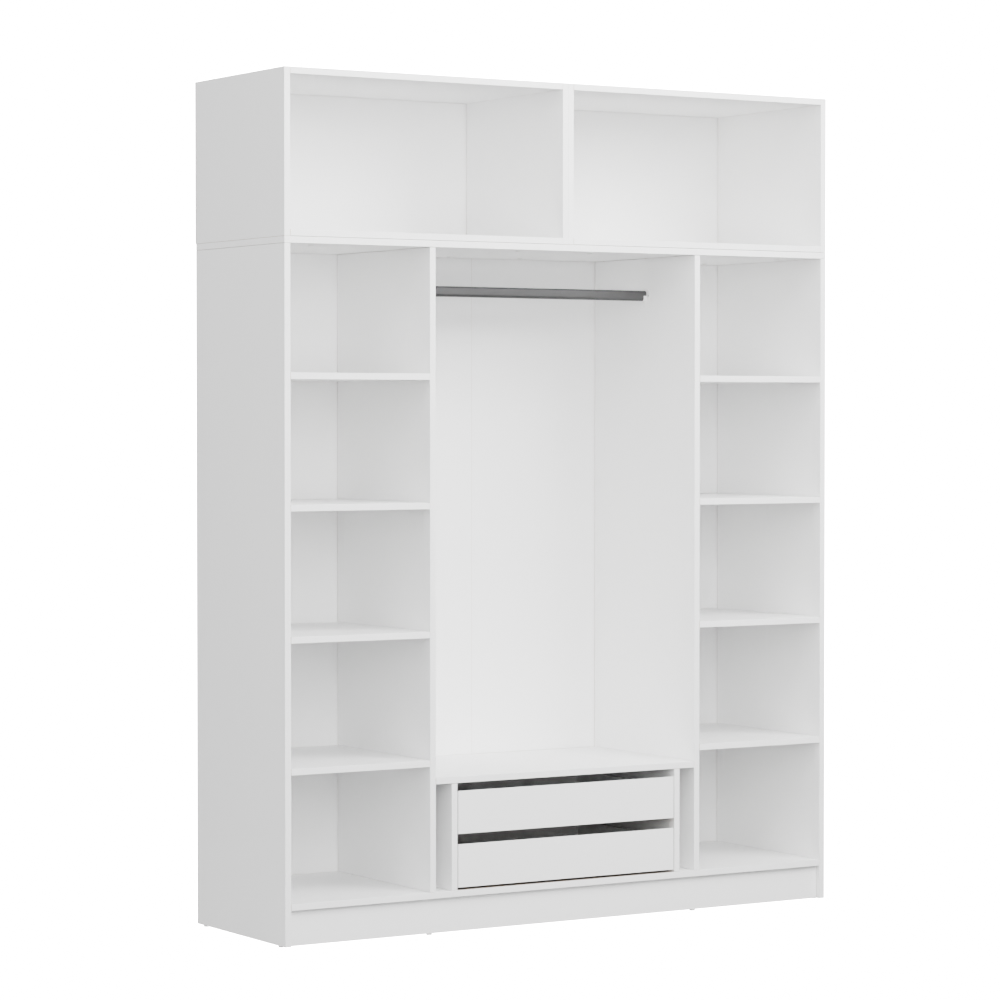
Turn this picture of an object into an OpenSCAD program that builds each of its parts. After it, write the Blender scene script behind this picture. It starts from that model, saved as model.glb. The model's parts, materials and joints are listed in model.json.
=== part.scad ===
// Closet organizer unit: a lower carcass with two shelf bays and a hanging bay over two
// drawers, and two open boxes that stand on top of it.
// Every piece is drawn with the front plane at y = 0 and the feet of the side panels at
// z = 0. The unit is then placed with its floor glides on z = 0 and its depth centred.

/* [Carcass] */
// Overall width of the unit
unit_w = 1800; // [1700:10:2000]
// Depth of the boards, from the front edges to the back panels
board_d = 520; // [500:5:600]
// Thickness of the coated boards
board_t = 18; // [17:0.5:20]
// Height of the lower carcass with its top panel
lower_h = 1900; // [1850:10:2000]
// Height of the top boxes
box_h = 450; // [300:10:550]
// Thickness of the back panels
back_t = 3; // [2.5:0.5:5]
// How far the lower back panels stop short of the outer faces and the top
back_inset = 4; // [2:1:8]
// Play between neighbouring back panels
back_play = 0.3; // [0.2:0.1:0.8]

/* [Plinth and feet] */
// Height of the plinth boards
plinth_h = 97; // [80:1:130]
// How far the front plinth stands behind the front edges
plinth_setback = 13; // [6:1:60]
// Height of the floor glides
glide_h = 4; // [2:0.5:8]
// Diameter of the floor glides
glide_d = 16; // [12:1:17]
// Diameter of the nail of a glide
glide_nail_d = 2.4; // [2:0.1:3]
// Length of the nail of a glide
glide_nail_l = 16; // [10:1:20]
// Distance from a board's end to the centre of its outer glide
glide_inset = 40; // [25:1:80]

/* [Bays and shelves] */
// Clear width of each side bay
side_bay_w = 432; // [400:2:460]
// Clear height under the lowest shelf
first_opening_h = 345; // [320:5:360]
// Clear height between two shelves
shelf_opening_h = 335; // [310:5:345]

/* [Drawer housing] */
// Clear width between a divider and the drawer housing
housing_slot_w = 51; // [36:1:70]
// Height that each drawer takes up in the housing
drawer_pitch = 148; // [140:1:165]
// Height of a drawer front
front_h = 121; // [112:1:126]
// Gap under a drawer front
front_lift = 6; // [4:0.5:8]
// Gap beside a drawer front
front_side_gap = 3; // [2:0.5:4]

/* [Drawer boxes] */
// Thickness of the boards of a drawer box
drawer_board_t = 16; // [15:0.5:18]
// Length of a drawer box behind its front
drawer_box_l = 460; // [455:1:475]
// Height of the sides of a drawer box
drawer_side_h = 88; // [84:1:96]
// How far the sides stand above the lower edge of the front
drawer_side_lift = 10; // [7:1:14]
// Thickness of the drawer bottom
drawer_bottom_t = 3; // [2.5:0.5:4]
// Height of the bottom's groove above the lower edge of the sides
groove_lift = 8; // [7:0.5:9]
// Depth of the bottom's groove
groove_depth = 7; // [5:0.5:7.5]

/* [Drawer runners] */
// Free width beside a drawer box for its runners
runner_gap = 12.5; // [12.5:0.1:13.5]
// Length of the runners
runner_l = 450; // [400:10:450]
// Distance from the back of the drawer front to the runners
runner_start = 3; // [2:0.5:5]
// Thickness of the runner steel
runner_t = 1.2; // [1:0.1:1.4]
// Height of the runners above the lower edge of the drawer sides
runner_lift = 2; // [1:0.5:3]
// Diameter of the rollers
roller_d = 22; // [20:0.5:23]
// Width of the rollers
roller_w = 7; // [6:0.1:7.2]
// Distance from a runner's end to the centre of its roller
roller_inset = 14; // [13:0.5:20]
// Diameter of the rivets that the rollers turn on
rivet_d = 6; // [5:0.1:7]
// Radial running play of a roller on its rivet
rivet_play = 0.05; // [0.03:0.01:0.08]
// Diameter of a rivet's head
rivet_head_d = 9; // [8:0.1:10]
// Thickness of a rivet's head
rivet_head_t = 1; // [0.8:0.1:1.1]
// Play beside and above a roller
roller_play = 0.3; // [0.2:0.05:0.35]
// Play between the steel profiles of a runner pair
profile_play = 0.8; // [0.6:0.05:0.9]
// Height of the stops in the cabinet runners
stop_h = 6; // [4:0.5:6.5]
// Length of the stops in the cabinet runners
stop_l = 3; // [2:0.5:5]
// How far a drawer slides out
drawer_travel = 330; // [250:5:340]

/* [Hanging rail] */
// Height of the oval rail
rail_h = 30; // [28:0.5:32]
// Depth of the oval rail
rail_d = 15; // [14:0.5:16]
// Wall of the oval rail
rail_wall = 1.2; // [0.8:0.1:2]
// Drop from the top panel to the middle of the rail
rail_drop = 110; // [80:1:150]
// Distance from the front plane to the middle of the rail
rail_y = 250; // [200:5:300]
// Play of the rail in its sockets
rail_play = 0.2; // [0.1:0.05:0.4]
// Diameter of a socket's flange
socket_d = 46; // [44:1:56]
// Thickness of a socket's flange
socket_flange_t = 2.5; // [2:0.1:3.5]
// Depth of a socket's saddle
socket_depth = 10; // [7:0.5:14]
// Wall of a socket's saddle
socket_wall = 2.2; // [1.8:0.1:2.6]
// Distance between the two screws of a socket
socket_screw_gap = 33; // [32:0.5:35]

/* [Cam joints] */
// Distance from a board's front and back edges to its cam joints
joint_inset = 37; // [30:1:60]
// Distance from a board's end to the centre of a cam
cam_reach = 34; // [30:0.5:40]
// Diameter of the cam locks
cam_d = 15; // [14:0.5:16]
// Height of the cam locks
cam_h = 12.5; // [12.3:0.1:12.8]
// Width of a cam's cross slot
cam_slot_w = 1.6; // [1:0.1:2]
// Length of a cam's cross slot
cam_slot_l = 9; // [7:0.5:10]
// Depth of a cam's cross slot
cam_slot_deep = 2; // [1:0.1:2.4]
// Diameter of a cam bolt's thread
bolt_thread_d = 5; // [4:0.1:6]
// Diameter of a cam bolt's shank
bolt_shank_d = 5.4; // [5:0.1:5.8]
// Diameter of a cam bolt's head
bolt_head_d = 6.2; // [6:0.1:6.4]
// Length of a cam bolt's head
bolt_head_l = 4; // [3:0.5:6]
// Diameter of the bore for a cam bolt in a board's end
bolt_bore_d = 7.4; // [7.2:0.1:8]
// Height of the lower cam above the lower edge of a drawer side
drawer_cam_low = 30; // [27:1:36]
// Distance between the two cams of a drawer side
drawer_cam_gap = 36; // [30:1:40]

/* [Dowels and screws] */
// Diameter of the dowels
dowel_d = 8; // [6:0.5:10]
// Length of the dowels
dowel_l = 30; // [25:1:40]
// Radial play of fasteners in their holes
hole_play = 0.1; // [0.05:0.01:0.2]
// Room left at the end of a blind hole
hole_end_play = 0.4; // [0.2:0.1:0.6]
// Wood left between two holes that face each other in one board
hole_web = 1; // [0.9:0.1:2]
// Length of the confirmat screws
confirmat_l = 50; // [45:1:60]
// Diameter of a confirmat screw's head
confirmat_head_d = 10; // [9:0.5:11]
// Thickness of a confirmat screw's head
confirmat_head_t = 2.5; // [2:0.1:4]
// Diameter of a confirmat screw's shank
confirmat_shank_d = 6.8; // [6:0.1:7.2]
// Diameter of a confirmat screw's thread
confirmat_thread_d = 5; // [4:0.1:5.8]
// Height of the lower screw of a drawer back above the lower edge of the sides
back_screw_low = 44; // [38:1:50]
// Distance between the two screws of a drawer back
back_screw_gap = 28; // [20:1:34]
// Diameter of the small screws
screw_d = 3.2; // [2.8:0.1:3.6]
// Length of the small screws under the head
screw_l = 8; // [7:0.5:8]
// Diameter of a small screw's head
screw_head_d = 6; // [5:0.1:6.5]
// Thickness of a small screw's head
screw_head_t = 0.8; // [0.6:0.1:0.9]
// Height of the runner screws above the lower edge of the drawer sides
runner_screw_rise = 18; // [15:0.5:20]
// Distance from a runner's ends to its outer screws
runner_screw_inset = 40; // [34:1:60]

/* [Connectors between the boxes and the carcass] */
// Distance from a box's ends to its connectors
connector_inset = 120; // [90:5:200]
// Diameter of a connector's head
connector_head_d = 14; // [12:0.5:16]
// Thickness of a connector's head
connector_head_t = 1.5; // [1:0.1:2.5]
// Diameter of a connector's sleeve
sleeve_d = 8; // [7.6:0.1:10]
// Diameter of a connector's bolt
connector_bolt_d = 5.6; // [5:0.1:6]
// Room between the bolt's tip and the sleeve's head
sleeve_end = 3; // [1:0.5:5]

/* [Hidden] */

$fn = 48;
// Overlap of a cutting shape past the face that it cuts
cut = 1;
board_white = [0.93, 0.93, 0.92];
back_white = [0.9, 0.9, 0.89];
zinc = [0.72, 0.73, 0.74];
runner_white = [0.85, 0.85, 0.83];
nylon_white = [0.92, 0.91, 0.88];
rail_grey = [0.55, 0.56, 0.58];
beech = [0.78, 0.62, 0.42];

// Overall depth and the planes of the carcass
overall_d = board_d + back_t;
half_w = unit_w / 2;
inner_x = half_w - board_t;
divider_out_x = inner_x - side_bay_w;
divider_in_x = divider_out_x - board_t;
bottom_z = plinth_h + board_t;
ceiling_z = lower_h - board_t;

// Drawer housing
drawer_count = 2;
housing_out_x = divider_in_x - housing_slot_w;
housing_in_x = housing_out_x - board_t;
deck_z = bottom_z + drawer_count * drawer_pitch;

// Drawer boxes
front_half_w = housing_in_x - front_side_gap;
drawer_out_x = housing_in_x - runner_gap;
drawer_in_x = drawer_out_x - drawer_board_t;
drawer_rear_y = board_t + drawer_box_l;
drawer_back_y = drawer_rear_y - drawer_board_t / 2;
groove_h = drawer_bottom_t + 2 * hole_play;

// Runner pair, with heights above the lower edge of the drawer sides
runner_y = board_t + runner_start;
roller_r = roller_d / 2;
channel_h = roller_d + roller_play + profile_play;
rear_roller_rise = runner_lift + runner_t + roller_play + roller_r;
channel_top_rise = runner_lift + 2 * runner_t + channel_h;
ledge_rise = channel_top_rise + profile_play;
front_roller_rise = ledge_rise - roller_play - roller_r;
profile_reach = runner_gap - runner_t - profile_play;
front_roller_y = runner_y + roller_inset;
rear_roller_y = runner_y + runner_l - roller_inset;
// Half of the roller's width where the top of a stop meets it
stop_reach = sqrt(pow(roller_r, 2) - pow(roller_r - stop_h, 2));

// Fasteners
bite = board_t / 2 - hole_web;
row_ys = [joint_inset, board_d - joint_inset];
mid_ys = [board_d / 2];
screw_rows = [joint_inset, board_d / 2, board_d - joint_inset];
connector_ys = [2 * joint_inset, board_d - 2 * joint_inset];
runner_screw_ys = [
    runner_y + runner_screw_inset,
    runner_y + runner_l / 2,
    runner_y + runner_l - runner_screw_inset
];

// Turns of a joint, whose own +X runs from the upright into the board. A cam is let in
// from the board's own underside, -Z.
to_right = [0, 0, 0];
to_left = [0, 0, 180];
to_right_top_cam = [180, 0, 0];
to_left_top_cam = [0, 180, 0];
downwards = [0, 90, 0];
upwards = [0, -90, 0];

shelf_total = 4;
function shelf_z(i) = bottom_z + first_opening_h + i * (shelf_opening_h + board_t) + board_t / 2;
function drawer_z(i) = bottom_z + i * drawer_pitch + front_lift;
function side_z(i) = drawer_z(i) + drawer_side_lift;

function ends(x, turn, z, ys) = [for (y = ys) [[x, y, z], turn]];
function both_ends(x0, x1, z, ys) = concat(ends(x0, to_right, z, ys), ends(x1, to_left, z, ys));
function top_ends(x0, x1, z, ys) =
    concat(ends(x0, to_right_top_cam, z, ys), ends(x1, to_left_top_cam, z, ys));

// Joints of each board, as a list of [place, turn]
function shelf_ends(side, i, ys) = side < 0
    ? both_ends(-inner_x, -divider_out_x, shelf_z(i), ys)
    : both_ends(divider_out_x, inner_x, shelf_z(i), ys);
function deck_ends(ys) = both_ends(-divider_in_x, divider_in_x, deck_z + board_t / 2, ys);
function bottom_ends(ys) = both_ends(-inner_x, inner_x, plinth_h + board_t / 2, ys);
plinth_front_y = plinth_setback + board_t / 2;
plinth_rear_y = board_d - board_t / 2;
front_plinth_ends = [
    [[-inner_x, plinth_front_y, plinth_h / 2], [90, 0, 0]],
    [[inner_x, plinth_front_y, plinth_h / 2], [90, 180, 0]]
];
rear_plinth_ends = [
    [[-inner_x, plinth_rear_y, plinth_h / 2], [-90, 0, 0]],
    [[inner_x, plinth_rear_y, plinth_h / 2], [-90, 180, 0]]
];
housing_mid_x = housing_in_x + board_t / 2;
function housing_tops(side, ys) =
    [for (y = ys) [[side * housing_mid_x, y, deck_z], side < 0 ? [0, 90, 180] : downwards]];
function box_x0(side) = side < 0 ? -half_w : 0;
function box_floor_ends(side, ys) =
    both_ends(box_x0(side) + board_t, box_x0(side) + half_w - board_t, lower_h + board_t / 2, ys);
function box_ceiling_ends(side, ys) =
    top_ends(
        box_x0(side) + board_t,
        box_x0(side) + half_w - board_t,
        lower_h + box_h - board_t / 2,
        ys
    );

// Dowels that stand upright between a plinth and the bottom panel
plinth_dowel_xs = [-inner_x * 2 / 3, 0, inner_x * 2 / 3];
function plinth_dowels(y) = [for (x = plinth_dowel_xs) [[x, y, plinth_h], downwards]];

// Confirmat screws, from the outer face that holds the head
upright_xs = [inner_x + board_t / 2, divider_in_x + board_t / 2];
top_screws = [
    for (side = [-1, 1]) for (x = upright_xs) for (y = screw_rows)
        [[side * x, y, lower_h], downwards]
];
function foot_screws(x) = [for (y = row_ys) [[x, y, plinth_h], upwards]];
foot_xs = [
    -divider_in_x - board_t / 2, -housing_mid_x, housing_mid_x, divider_in_x + board_t / 2
];
bottom_screws = [for (x = foot_xs) each foot_screws(x)];

// Box connectors, from the top face of a box's bottom panel
function box_connector_places(side) = [
    for (x = [connector_inset, half_w - connector_inset]) for (y = connector_ys)
        [box_x0(side) + x, y]
];

// All joints of the cabinet that have a cam, and all that have a dowel
function all_shelf_ends(ys) =
    [for (side = [-1, 1]) for (i = [0 : shelf_total - 1]) each shelf_ends(side, i, ys)];
function all_box_ends(ys) = [
    for (side = [-1, 1]) each concat(box_floor_ends(side, ys), box_ceiling_ends(side, ys))
];
function board_joints(ys) = concat(
    all_shelf_ends(ys), deck_ends(ys), bottom_ends(ys), all_box_ends(ys),
    housing_tops(-1, ys), housing_tops(1, ys)
);
cam_joints = concat(board_joints(row_ys), front_plinth_ends, rear_plinth_ends);
dowel_joints = concat(
    board_joints(mid_ys), plinth_dowels(plinth_front_y), plinth_dowels(plinth_rear_y)
);

// Joints of drawer i
function drawer_cams(i) = [
    for (side = [-1, 1]) for (rise = [drawer_cam_low, drawer_cam_low + drawer_cam_gap])
        [
            [side * (drawer_out_x - drawer_board_t / 2), board_t, side_z(i) + rise],
            [90 * side, 0, 90]
        ]
];
function drawer_back_screws(i) = [
    for (side = [-1, 1]) for (rise = [back_screw_low, back_screw_low + back_screw_gap])
        [[side * drawer_out_x, drawer_back_y, side_z(i) + rise], side < 0 ? to_right : to_left]
];
drawer_bottom_screw_xs = [-drawer_in_x * 2 / 3, 0, drawer_in_x * 2 / 3];
function drawer_bottom_screws(i) = [
    for (x = drawer_bottom_screw_xs)
        [[x, drawer_back_y, side_z(i) + groove_lift + hole_play], upwards]
];

// Small screws, from the face under the head
function cabinet_runner_screws(i) = [
    for (side = [-1, 1]) for (y = runner_screw_ys)
        [
            [side * (housing_in_x - runner_t), y, side_z(i) + runner_screw_rise],
            side < 0 ? to_left : to_right
        ]
];
function drawer_runner_screws(i) = [
    for (side = [-1, 1]) for (y = runner_screw_ys)
        [
            [side * (drawer_out_x + runner_t), y, side_z(i) + runner_screw_rise],
            side < 0 ? to_right : to_left
        ]
];
rail_z = ceiling_z - rail_drop;
socket_screws = [
    for (side = [-1, 1]) for (turn = [-1, 1])
        [
            [
                side * (divider_in_x - socket_flange_t),
                rail_y + turn * socket_screw_gap / 2,
                rail_z
            ],
            side < 0 ? to_left : to_right
        ]
];

// Floor glides under the side panels and the plinths
glide_places = [
    for (side = [-1, 1]) each [
        [side * (inner_x + board_t / 2), glide_inset],
        [side * (inner_x + board_t / 2), board_d - glide_inset],
        [side * (divider_in_x + board_t / 2), plinth_front_y],
        [side * (divider_in_x + board_t / 2), plinth_rear_y]
    ]
];

module placed() {
    translate([0, -overall_d / 2, glide_h]) children();
}

module block(x, y, z) {
    translate([x[0], y[0], z[0]]) cube([x[1] - x[0], y[1] - y[0], z[1] - z[0]]);
}

module along_x(d, x0, x1) {
    translate([x0, 0, 0]) rotate([0, 90, 0]) cylinder(d = d, h = x1 - x0);
}

module at(joint) {
    translate(joint[0]) rotate(joint[1]) children();
}

// One cam lock in a board of thickness t
module cam_lock(t) {
    difference() {
        translate([cam_reach, 0, -t / 2]) cylinder(d = cam_d, h = cam_h);
        along_x(bolt_head_d + 2 * hole_play, cam_reach - cam_d, cam_reach + bolt_head_d / 2);
        translate([cam_reach, 0, -t / 2]) {
            cube([cam_slot_l, cam_slot_w, 2 * cam_slot_deep], center = true);
            cube([cam_slot_w, cam_slot_l, 2 * cam_slot_deep], center = true);
        }
    }
}

module cam_bolt() {
    along_x(bolt_thread_d, -bite, 0);
    along_x(bolt_shank_d, 0, cam_reach - bolt_head_l);
    along_x(bolt_head_d, cam_reach - bolt_head_l, cam_reach + hole_play);
}

// Holes in the upright that the bolts are screwed into
module bolt_holes(joints) {
    for (joint = joints)
        at(joint) along_x(bolt_thread_d + 2 * hole_play, -bite - hole_end_play, cut);
}

// Holes in the board that holds the cams
module cam_holes(joints, t) {
    for (joint = joints) at(joint) {
        along_x(bolt_bore_d, -cut, cam_reach);
        translate([cam_reach, 0, -t / 2 - cut])
            cylinder(d = cam_d + 2 * hole_play, h = cut + cam_h + hole_play);
    }
}

module dowel() {
    along_x(dowel_d, -bite, dowel_l - bite);
}

module dowel_holes(joints) {
    for (joint = joints)
        at(joint) along_x(
            dowel_d + 2 * hole_play, -bite - hole_end_play, dowel_l - bite + hole_end_play
        );
}

// One confirmat screw through a board of thickness t
module confirmat(t) {
    along_x(confirmat_head_d, 0, confirmat_head_t);
    along_x(confirmat_shank_d, confirmat_head_t, t);
    along_x(confirmat_thread_d, t, confirmat_l);
}

module confirmat_holes(joints, t) {
    for (joint = joints) at(joint) {
        along_x(confirmat_head_d + 2 * hole_play, -cut, confirmat_head_t + hole_play);
        along_x(confirmat_shank_d + 2 * hole_play, 0, t + hole_play);
        along_x(confirmat_thread_d + 2 * hole_play, 0, confirmat_l + hole_end_play);
    }
}

module small_screw() {
    along_x(screw_head_d, -screw_head_t, 0);
    along_x(screw_d, 0, screw_l);
}

module small_screw_holes(joints) {
    for (joint = joints)
        at(joint) along_x(screw_d + 2 * hole_play, -cut, screw_l + hole_end_play);
}

module side_panel(side) {
    inner_turn = side < 0 ? to_right : to_left;
    color(board_white) placed() difference() {
        block(side < 0 ? [-half_w, -inner_x] : [inner_x, half_w], [0, board_d], [0, ceiling_z]);
        for (i = [0 : shelf_total - 1]) {
            bolt_holes(ends(side * inner_x, inner_turn, shelf_z(i), row_ys));
            dowel_holes(ends(side * inner_x, inner_turn, shelf_z(i), mid_ys));
        }
        bolt_holes(ends(side * inner_x, inner_turn, plinth_h + board_t / 2, row_ys));
        dowel_holes(ends(side * inner_x, inner_turn, plinth_h + board_t / 2, mid_ys));
        bolt_holes([for (joint = concat(front_plinth_ends, rear_plinth_ends))
            if (joint[0][0] * side > 0) joint]);
        confirmat_holes([for (joint = top_screws) if (joint[0][0] * side > inner_x) joint], board_t);
        glide_holes();
    }
}

module divider(side) {
    outer_turn = side < 0 ? to_left : to_right;
    inner_turn = side < 0 ? to_right : to_left;
    color(board_white) placed() difference() {
        block(
            side < 0 ? [-divider_out_x, -divider_in_x] : [divider_in_x, divider_out_x],
            [0, board_d],
            [bottom_z, ceiling_z]
        );
        for (i = [0 : shelf_total - 1]) {
            bolt_holes(ends(side * divider_out_x, outer_turn, shelf_z(i), row_ys));
            dowel_holes(ends(side * divider_out_x, outer_turn, shelf_z(i), mid_ys));
        }
        bolt_holes(ends(side * divider_in_x, inner_turn, deck_z + board_t / 2, row_ys));
        dowel_holes(ends(side * divider_in_x, inner_turn, deck_z + board_t / 2, mid_ys));
        small_screw_holes([for (joint = socket_screws) if (joint[0][0] * side > 0) joint]);
        confirmat_holes(
            [for (joint = top_screws)
                if (joint[0][0] * side > 0 && joint[0][0] * side < inner_x) joint],
            board_t
        );
        confirmat_holes(foot_screws(side * (divider_in_x + board_t / 2)), board_t);
    }
}

module top_panel() {
    color(board_white) placed() difference() {
        block([-half_w, half_w], [0, board_d], [ceiling_z, lower_h]);
        confirmat_holes(top_screws, board_t);
        connector_holes(-1);
        connector_holes(1);
    }
}

module bottom_panel() {
    color(board_white) placed() difference() {
        block([-inner_x, inner_x], [0, board_d], [plinth_h, bottom_z]);
        cam_holes(bottom_ends(row_ys), board_t);
        dowel_holes(bottom_ends(mid_ys));
        dowel_holes(plinth_dowels(plinth_front_y));
        dowel_holes(plinth_dowels(plinth_rear_y));
        confirmat_holes(bottom_screws, board_t);
    }
}

module plinth(mid_y, joints) {
    color(board_white) placed() difference() {
        block(
            [-inner_x, inner_x], [mid_y - board_t / 2, mid_y + board_t / 2], [0, plinth_h]
        );
        cam_holes(joints, board_t);
        dowel_holes(plinth_dowels(mid_y));
        glide_holes();
    }
}

module shelf(side, i) {
    color(board_white) placed() difference() {
        block(
            side < 0 ? [-inner_x, -divider_out_x] : [divider_out_x, inner_x],
            [0, board_d],
            [shelf_z(i) - board_t / 2, shelf_z(i) + board_t / 2]
        );
        cam_holes(shelf_ends(side, i, row_ys), board_t);
        dowel_holes(shelf_ends(side, i, mid_ys));
    }
}

module drawer_deck() {
    color(board_white) placed() difference() {
        block([-divider_in_x, divider_in_x], [0, board_d], [deck_z, deck_z + board_t]);
        cam_holes(deck_ends(row_ys), board_t);
        dowel_holes(deck_ends(mid_ys));
        for (side = [-1, 1]) {
            bolt_holes(housing_tops(side, row_ys));
            dowel_holes(housing_tops(side, mid_ys));
        }
    }
}

module housing_side(side) {
    color(board_white) placed() difference() {
        block(
            side < 0 ? [-housing_out_x, -housing_in_x] : [housing_in_x, housing_out_x],
            [0, board_d],
            [bottom_z, deck_z]
        );
        cam_holes(housing_tops(side, row_ys), board_t);
        dowel_holes(housing_tops(side, mid_ys));
        confirmat_holes(foot_screws(side * housing_mid_x), board_t);
        for (i = [0 : drawer_count - 1])
            small_screw_holes([for (joint = cabinet_runner_screws(i))
                if (joint[0][0] * side > 0) joint]);
    }
}

module back_panel(side) {
    outer_x = half_w - back_inset;
    inner_edge = back_play / 2;
    color(back_white) placed() block(
        side < 0 ? [-outer_x, -inner_edge] : [inner_edge, outer_x],
        [board_d, overall_d],
        [plinth_h, lower_h - back_inset]
    );
}

// Upright of a top box, at the unit's end or in its middle
module box_side(side, outer) {
    x0 = outer ? (side < 0 ? -half_w : inner_x) : (side < 0 ? -board_t : 0);
    face_x = outer ? side * inner_x : side * board_t;
    turns = (side < 0) == outer ? [to_right, to_right_top_cam] : [to_left, to_left_top_cam];
    joint_zs = [lower_h + board_t / 2, lower_h + box_h - board_t / 2];
    color(board_white) placed() difference() {
        block([x0, x0 + board_t], [0, board_d], [lower_h, lower_h + box_h]);
        for (level = [0, 1]) {
            bolt_holes(ends(face_x, turns[level], joint_zs[level], row_ys));
            dowel_holes(ends(face_x, turns[level], joint_zs[level], mid_ys));
        }
    }
}

module box_board_blank(side, z0) {
    x0 = box_x0(side) + board_t;
    block([x0, x0 + half_w - 2 * board_t], [0, board_d], [z0, z0 + board_t]);
}

module box_top(side) {
    color(board_white) placed() difference() {
        box_board_blank(side, lower_h + box_h - board_t);
        cam_holes(box_ceiling_ends(side, row_ys), board_t);
        dowel_holes(box_ceiling_ends(side, mid_ys));
    }
}

module box_bottom(side) {
    color(board_white) placed() difference() {
        box_board_blank(side, lower_h);
        cam_holes(box_floor_ends(side, row_ys), board_t);
        dowel_holes(box_floor_ends(side, mid_ys));
        connector_holes(side);
    }
}

module box_back(side) {
    inner_edge = back_play / 2;
    color(back_white) placed() block(
        side < 0 ? [-half_w, -inner_edge] : [inner_edge, half_w],
        [board_d, overall_d],
        [lower_h + inner_edge, lower_h + box_h]
    );
}

// Outline of the oval rail, grown by a margin, with its long side up
module oval(margin) {
    h = rail_h + 2 * margin;
    d = rail_d + 2 * margin;
    square([h - d, d], center = true);
    for (side = [-1, 1]) translate([side * (h - d) / 2, 0]) circle(d = d);
}

module hanging_rail() {
    rail_half_l = divider_in_x - socket_flange_t - rail_play;
    color(rail_grey) placed() translate([-rail_half_l, rail_y, rail_z])
        rotate([0, 90, 0]) linear_extrude(2 * rail_half_l) difference() {
            oval(0);
            oval(-rail_wall);
        }
}

// Socket on the right divider: a round flange with a saddle that is open at the top
module rail_socket() {
    saddle_l = socket_flange_t + socket_depth;
    difference() {
        translate([divider_in_x, rail_y, rail_z]) rotate([0, -90, 0]) {
            cylinder(d = socket_d, h = socket_flange_t);
            linear_extrude(saddle_l) difference() {
                oval(rail_play + socket_wall);
                oval(rail_play);
                translate([0, -socket_d / 2]) square([socket_d, socket_d]);
            }
        }
        small_screw_holes(socket_screws);
    }
}

module rail_sockets() {
    color(nylon_white) placed() {
        rail_socket();
        mirror([1, 0, 0]) rail_socket();
    }
}

module glide_holes() {
    for (place = glide_places)
        translate([place[0], place[1], -cut])
            cylinder(d = glide_nail_d + 2 * hole_play, h = cut + glide_nail_l + hole_end_play);
}

module floor_glides() {
    color(nylon_white) placed() for (place = glide_places) translate([place[0], place[1], 0]) {
        translate([0, 0, -glide_h]) cylinder(d = glide_d, h = glide_h);
        cylinder(d = glide_nail_d, h = glide_nail_l);
    }
}

module cam_locks() {
    color(zinc) placed() for (joint = cam_joints) at(joint) cam_lock(board_t);
}

module cam_bolts() {
    color(zinc) placed() for (joint = cam_joints) at(joint) cam_bolt();
}

module dowels() {
    color(beech) placed() for (joint = dowel_joints) at(joint) dowel();
}

module confirmat_screws() {
    color(zinc) placed()
        for (joint = concat(top_screws, bottom_screws)) at(joint) confirmat(board_t);
}

module connector_holes(side) {
    for (place = box_connector_places(side))
        translate([place[0], place[1], ceiling_z - cut])
            cylinder(d = sleeve_d + 2 * hole_play, h = 2 * board_t + 2 * cut);
}

// Sleeve nut from below and bolt from above, through the box's bottom and the top panel
module box_connectors() {
    sleeve_top = lower_h + board_t - 2 * hole_play;
    bolt_tip = ceiling_z + sleeve_end;
    color(zinc) placed() for (side = [-1, 1]) for (place = box_connector_places(side))
        translate([place[0], place[1], 0]) {
            difference() {
                union() {
                    translate([0, 0, ceiling_z - connector_head_t])
                        cylinder(d = connector_head_d, h = connector_head_t);
                    translate([0, 0, ceiling_z]) cylinder(d = sleeve_d, h = sleeve_top - ceiling_z);
                }
                translate([0, 0, bolt_tip - hole_end_play])
                    cylinder(d = connector_bolt_d + 2 * hole_play, h = 2 * board_t);
            }
            translate([0, 0, lower_h + board_t])
                cylinder(d = connector_head_d, h = connector_head_t);
            translate([0, 0, bolt_tip])
                cylinder(d = connector_bolt_d, h = lower_h + board_t - bolt_tip);
        }
}

// Rivet with its head, on the right, with its root at x and growing by side
module rivet(x, side, y, z) {
    shank_l = roller_w + 2 * roller_play;
    translate([x, y, z]) rotate([0, 90 * side, 0]) {
        cylinder(d = rivet_d, h = shank_l);
        translate([0, 0, shank_l]) cylinder(d = rivet_head_d, h = rivet_head_t);
    }
}

// Channel on the right housing side, with drawer i's front roller rivet and two stops
module cabinet_runner(i) {
    z0 = side_z(i) + runner_lift;
    web_x = housing_in_x - runner_t;
    flange_x = housing_in_x - profile_reach;
    roller_end = front_roller_y + roller_r + 2 * profile_play;
    out_stop = rear_roller_y - drawer_travel - stop_reach - hole_end_play;
    in_stop = rear_roller_y + stop_reach + hole_end_play;
    difference() {
        union() {
            block([web_x, housing_in_x], [runner_y, runner_y + runner_l],
                [z0, z0 + channel_h + 2 * runner_t]);
            block([flange_x, housing_in_x], [runner_y, runner_y + runner_l], [z0, z0 + runner_t]);
            block([flange_x, housing_in_x], [roller_end, runner_y + runner_l],
                [z0 + runner_t + channel_h, z0 + 2 * runner_t + channel_h]);
            block([flange_x, housing_in_x], [out_stop - stop_l, out_stop],
                [z0, z0 + runner_t + stop_h]);
            block([flange_x, housing_in_x], [in_stop, in_stop + stop_l],
                [z0, z0 + runner_t + stop_h]);
            rivet(web_x, -1, front_roller_y, side_z(i) + front_roller_rise);
        }
        small_screw_holes([for (joint = cabinet_runner_screws(i)) if (joint[0][0] > 0) joint]);
    }
}

module cabinet_runners() {
    color(runner_white) placed() for (i = [0 : drawer_count - 1]) {
        cabinet_runner(i);
        mirror([1, 0, 0]) cabinet_runner(i);
    }
}

module small_screws() {
    color(zinc) placed() {
        for (i = [0 : drawer_count - 1])
            for (joint = cabinet_runner_screws(i)) at(joint) small_screw();
        for (joint = socket_screws) at(joint) small_screw();
    }
}

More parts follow.
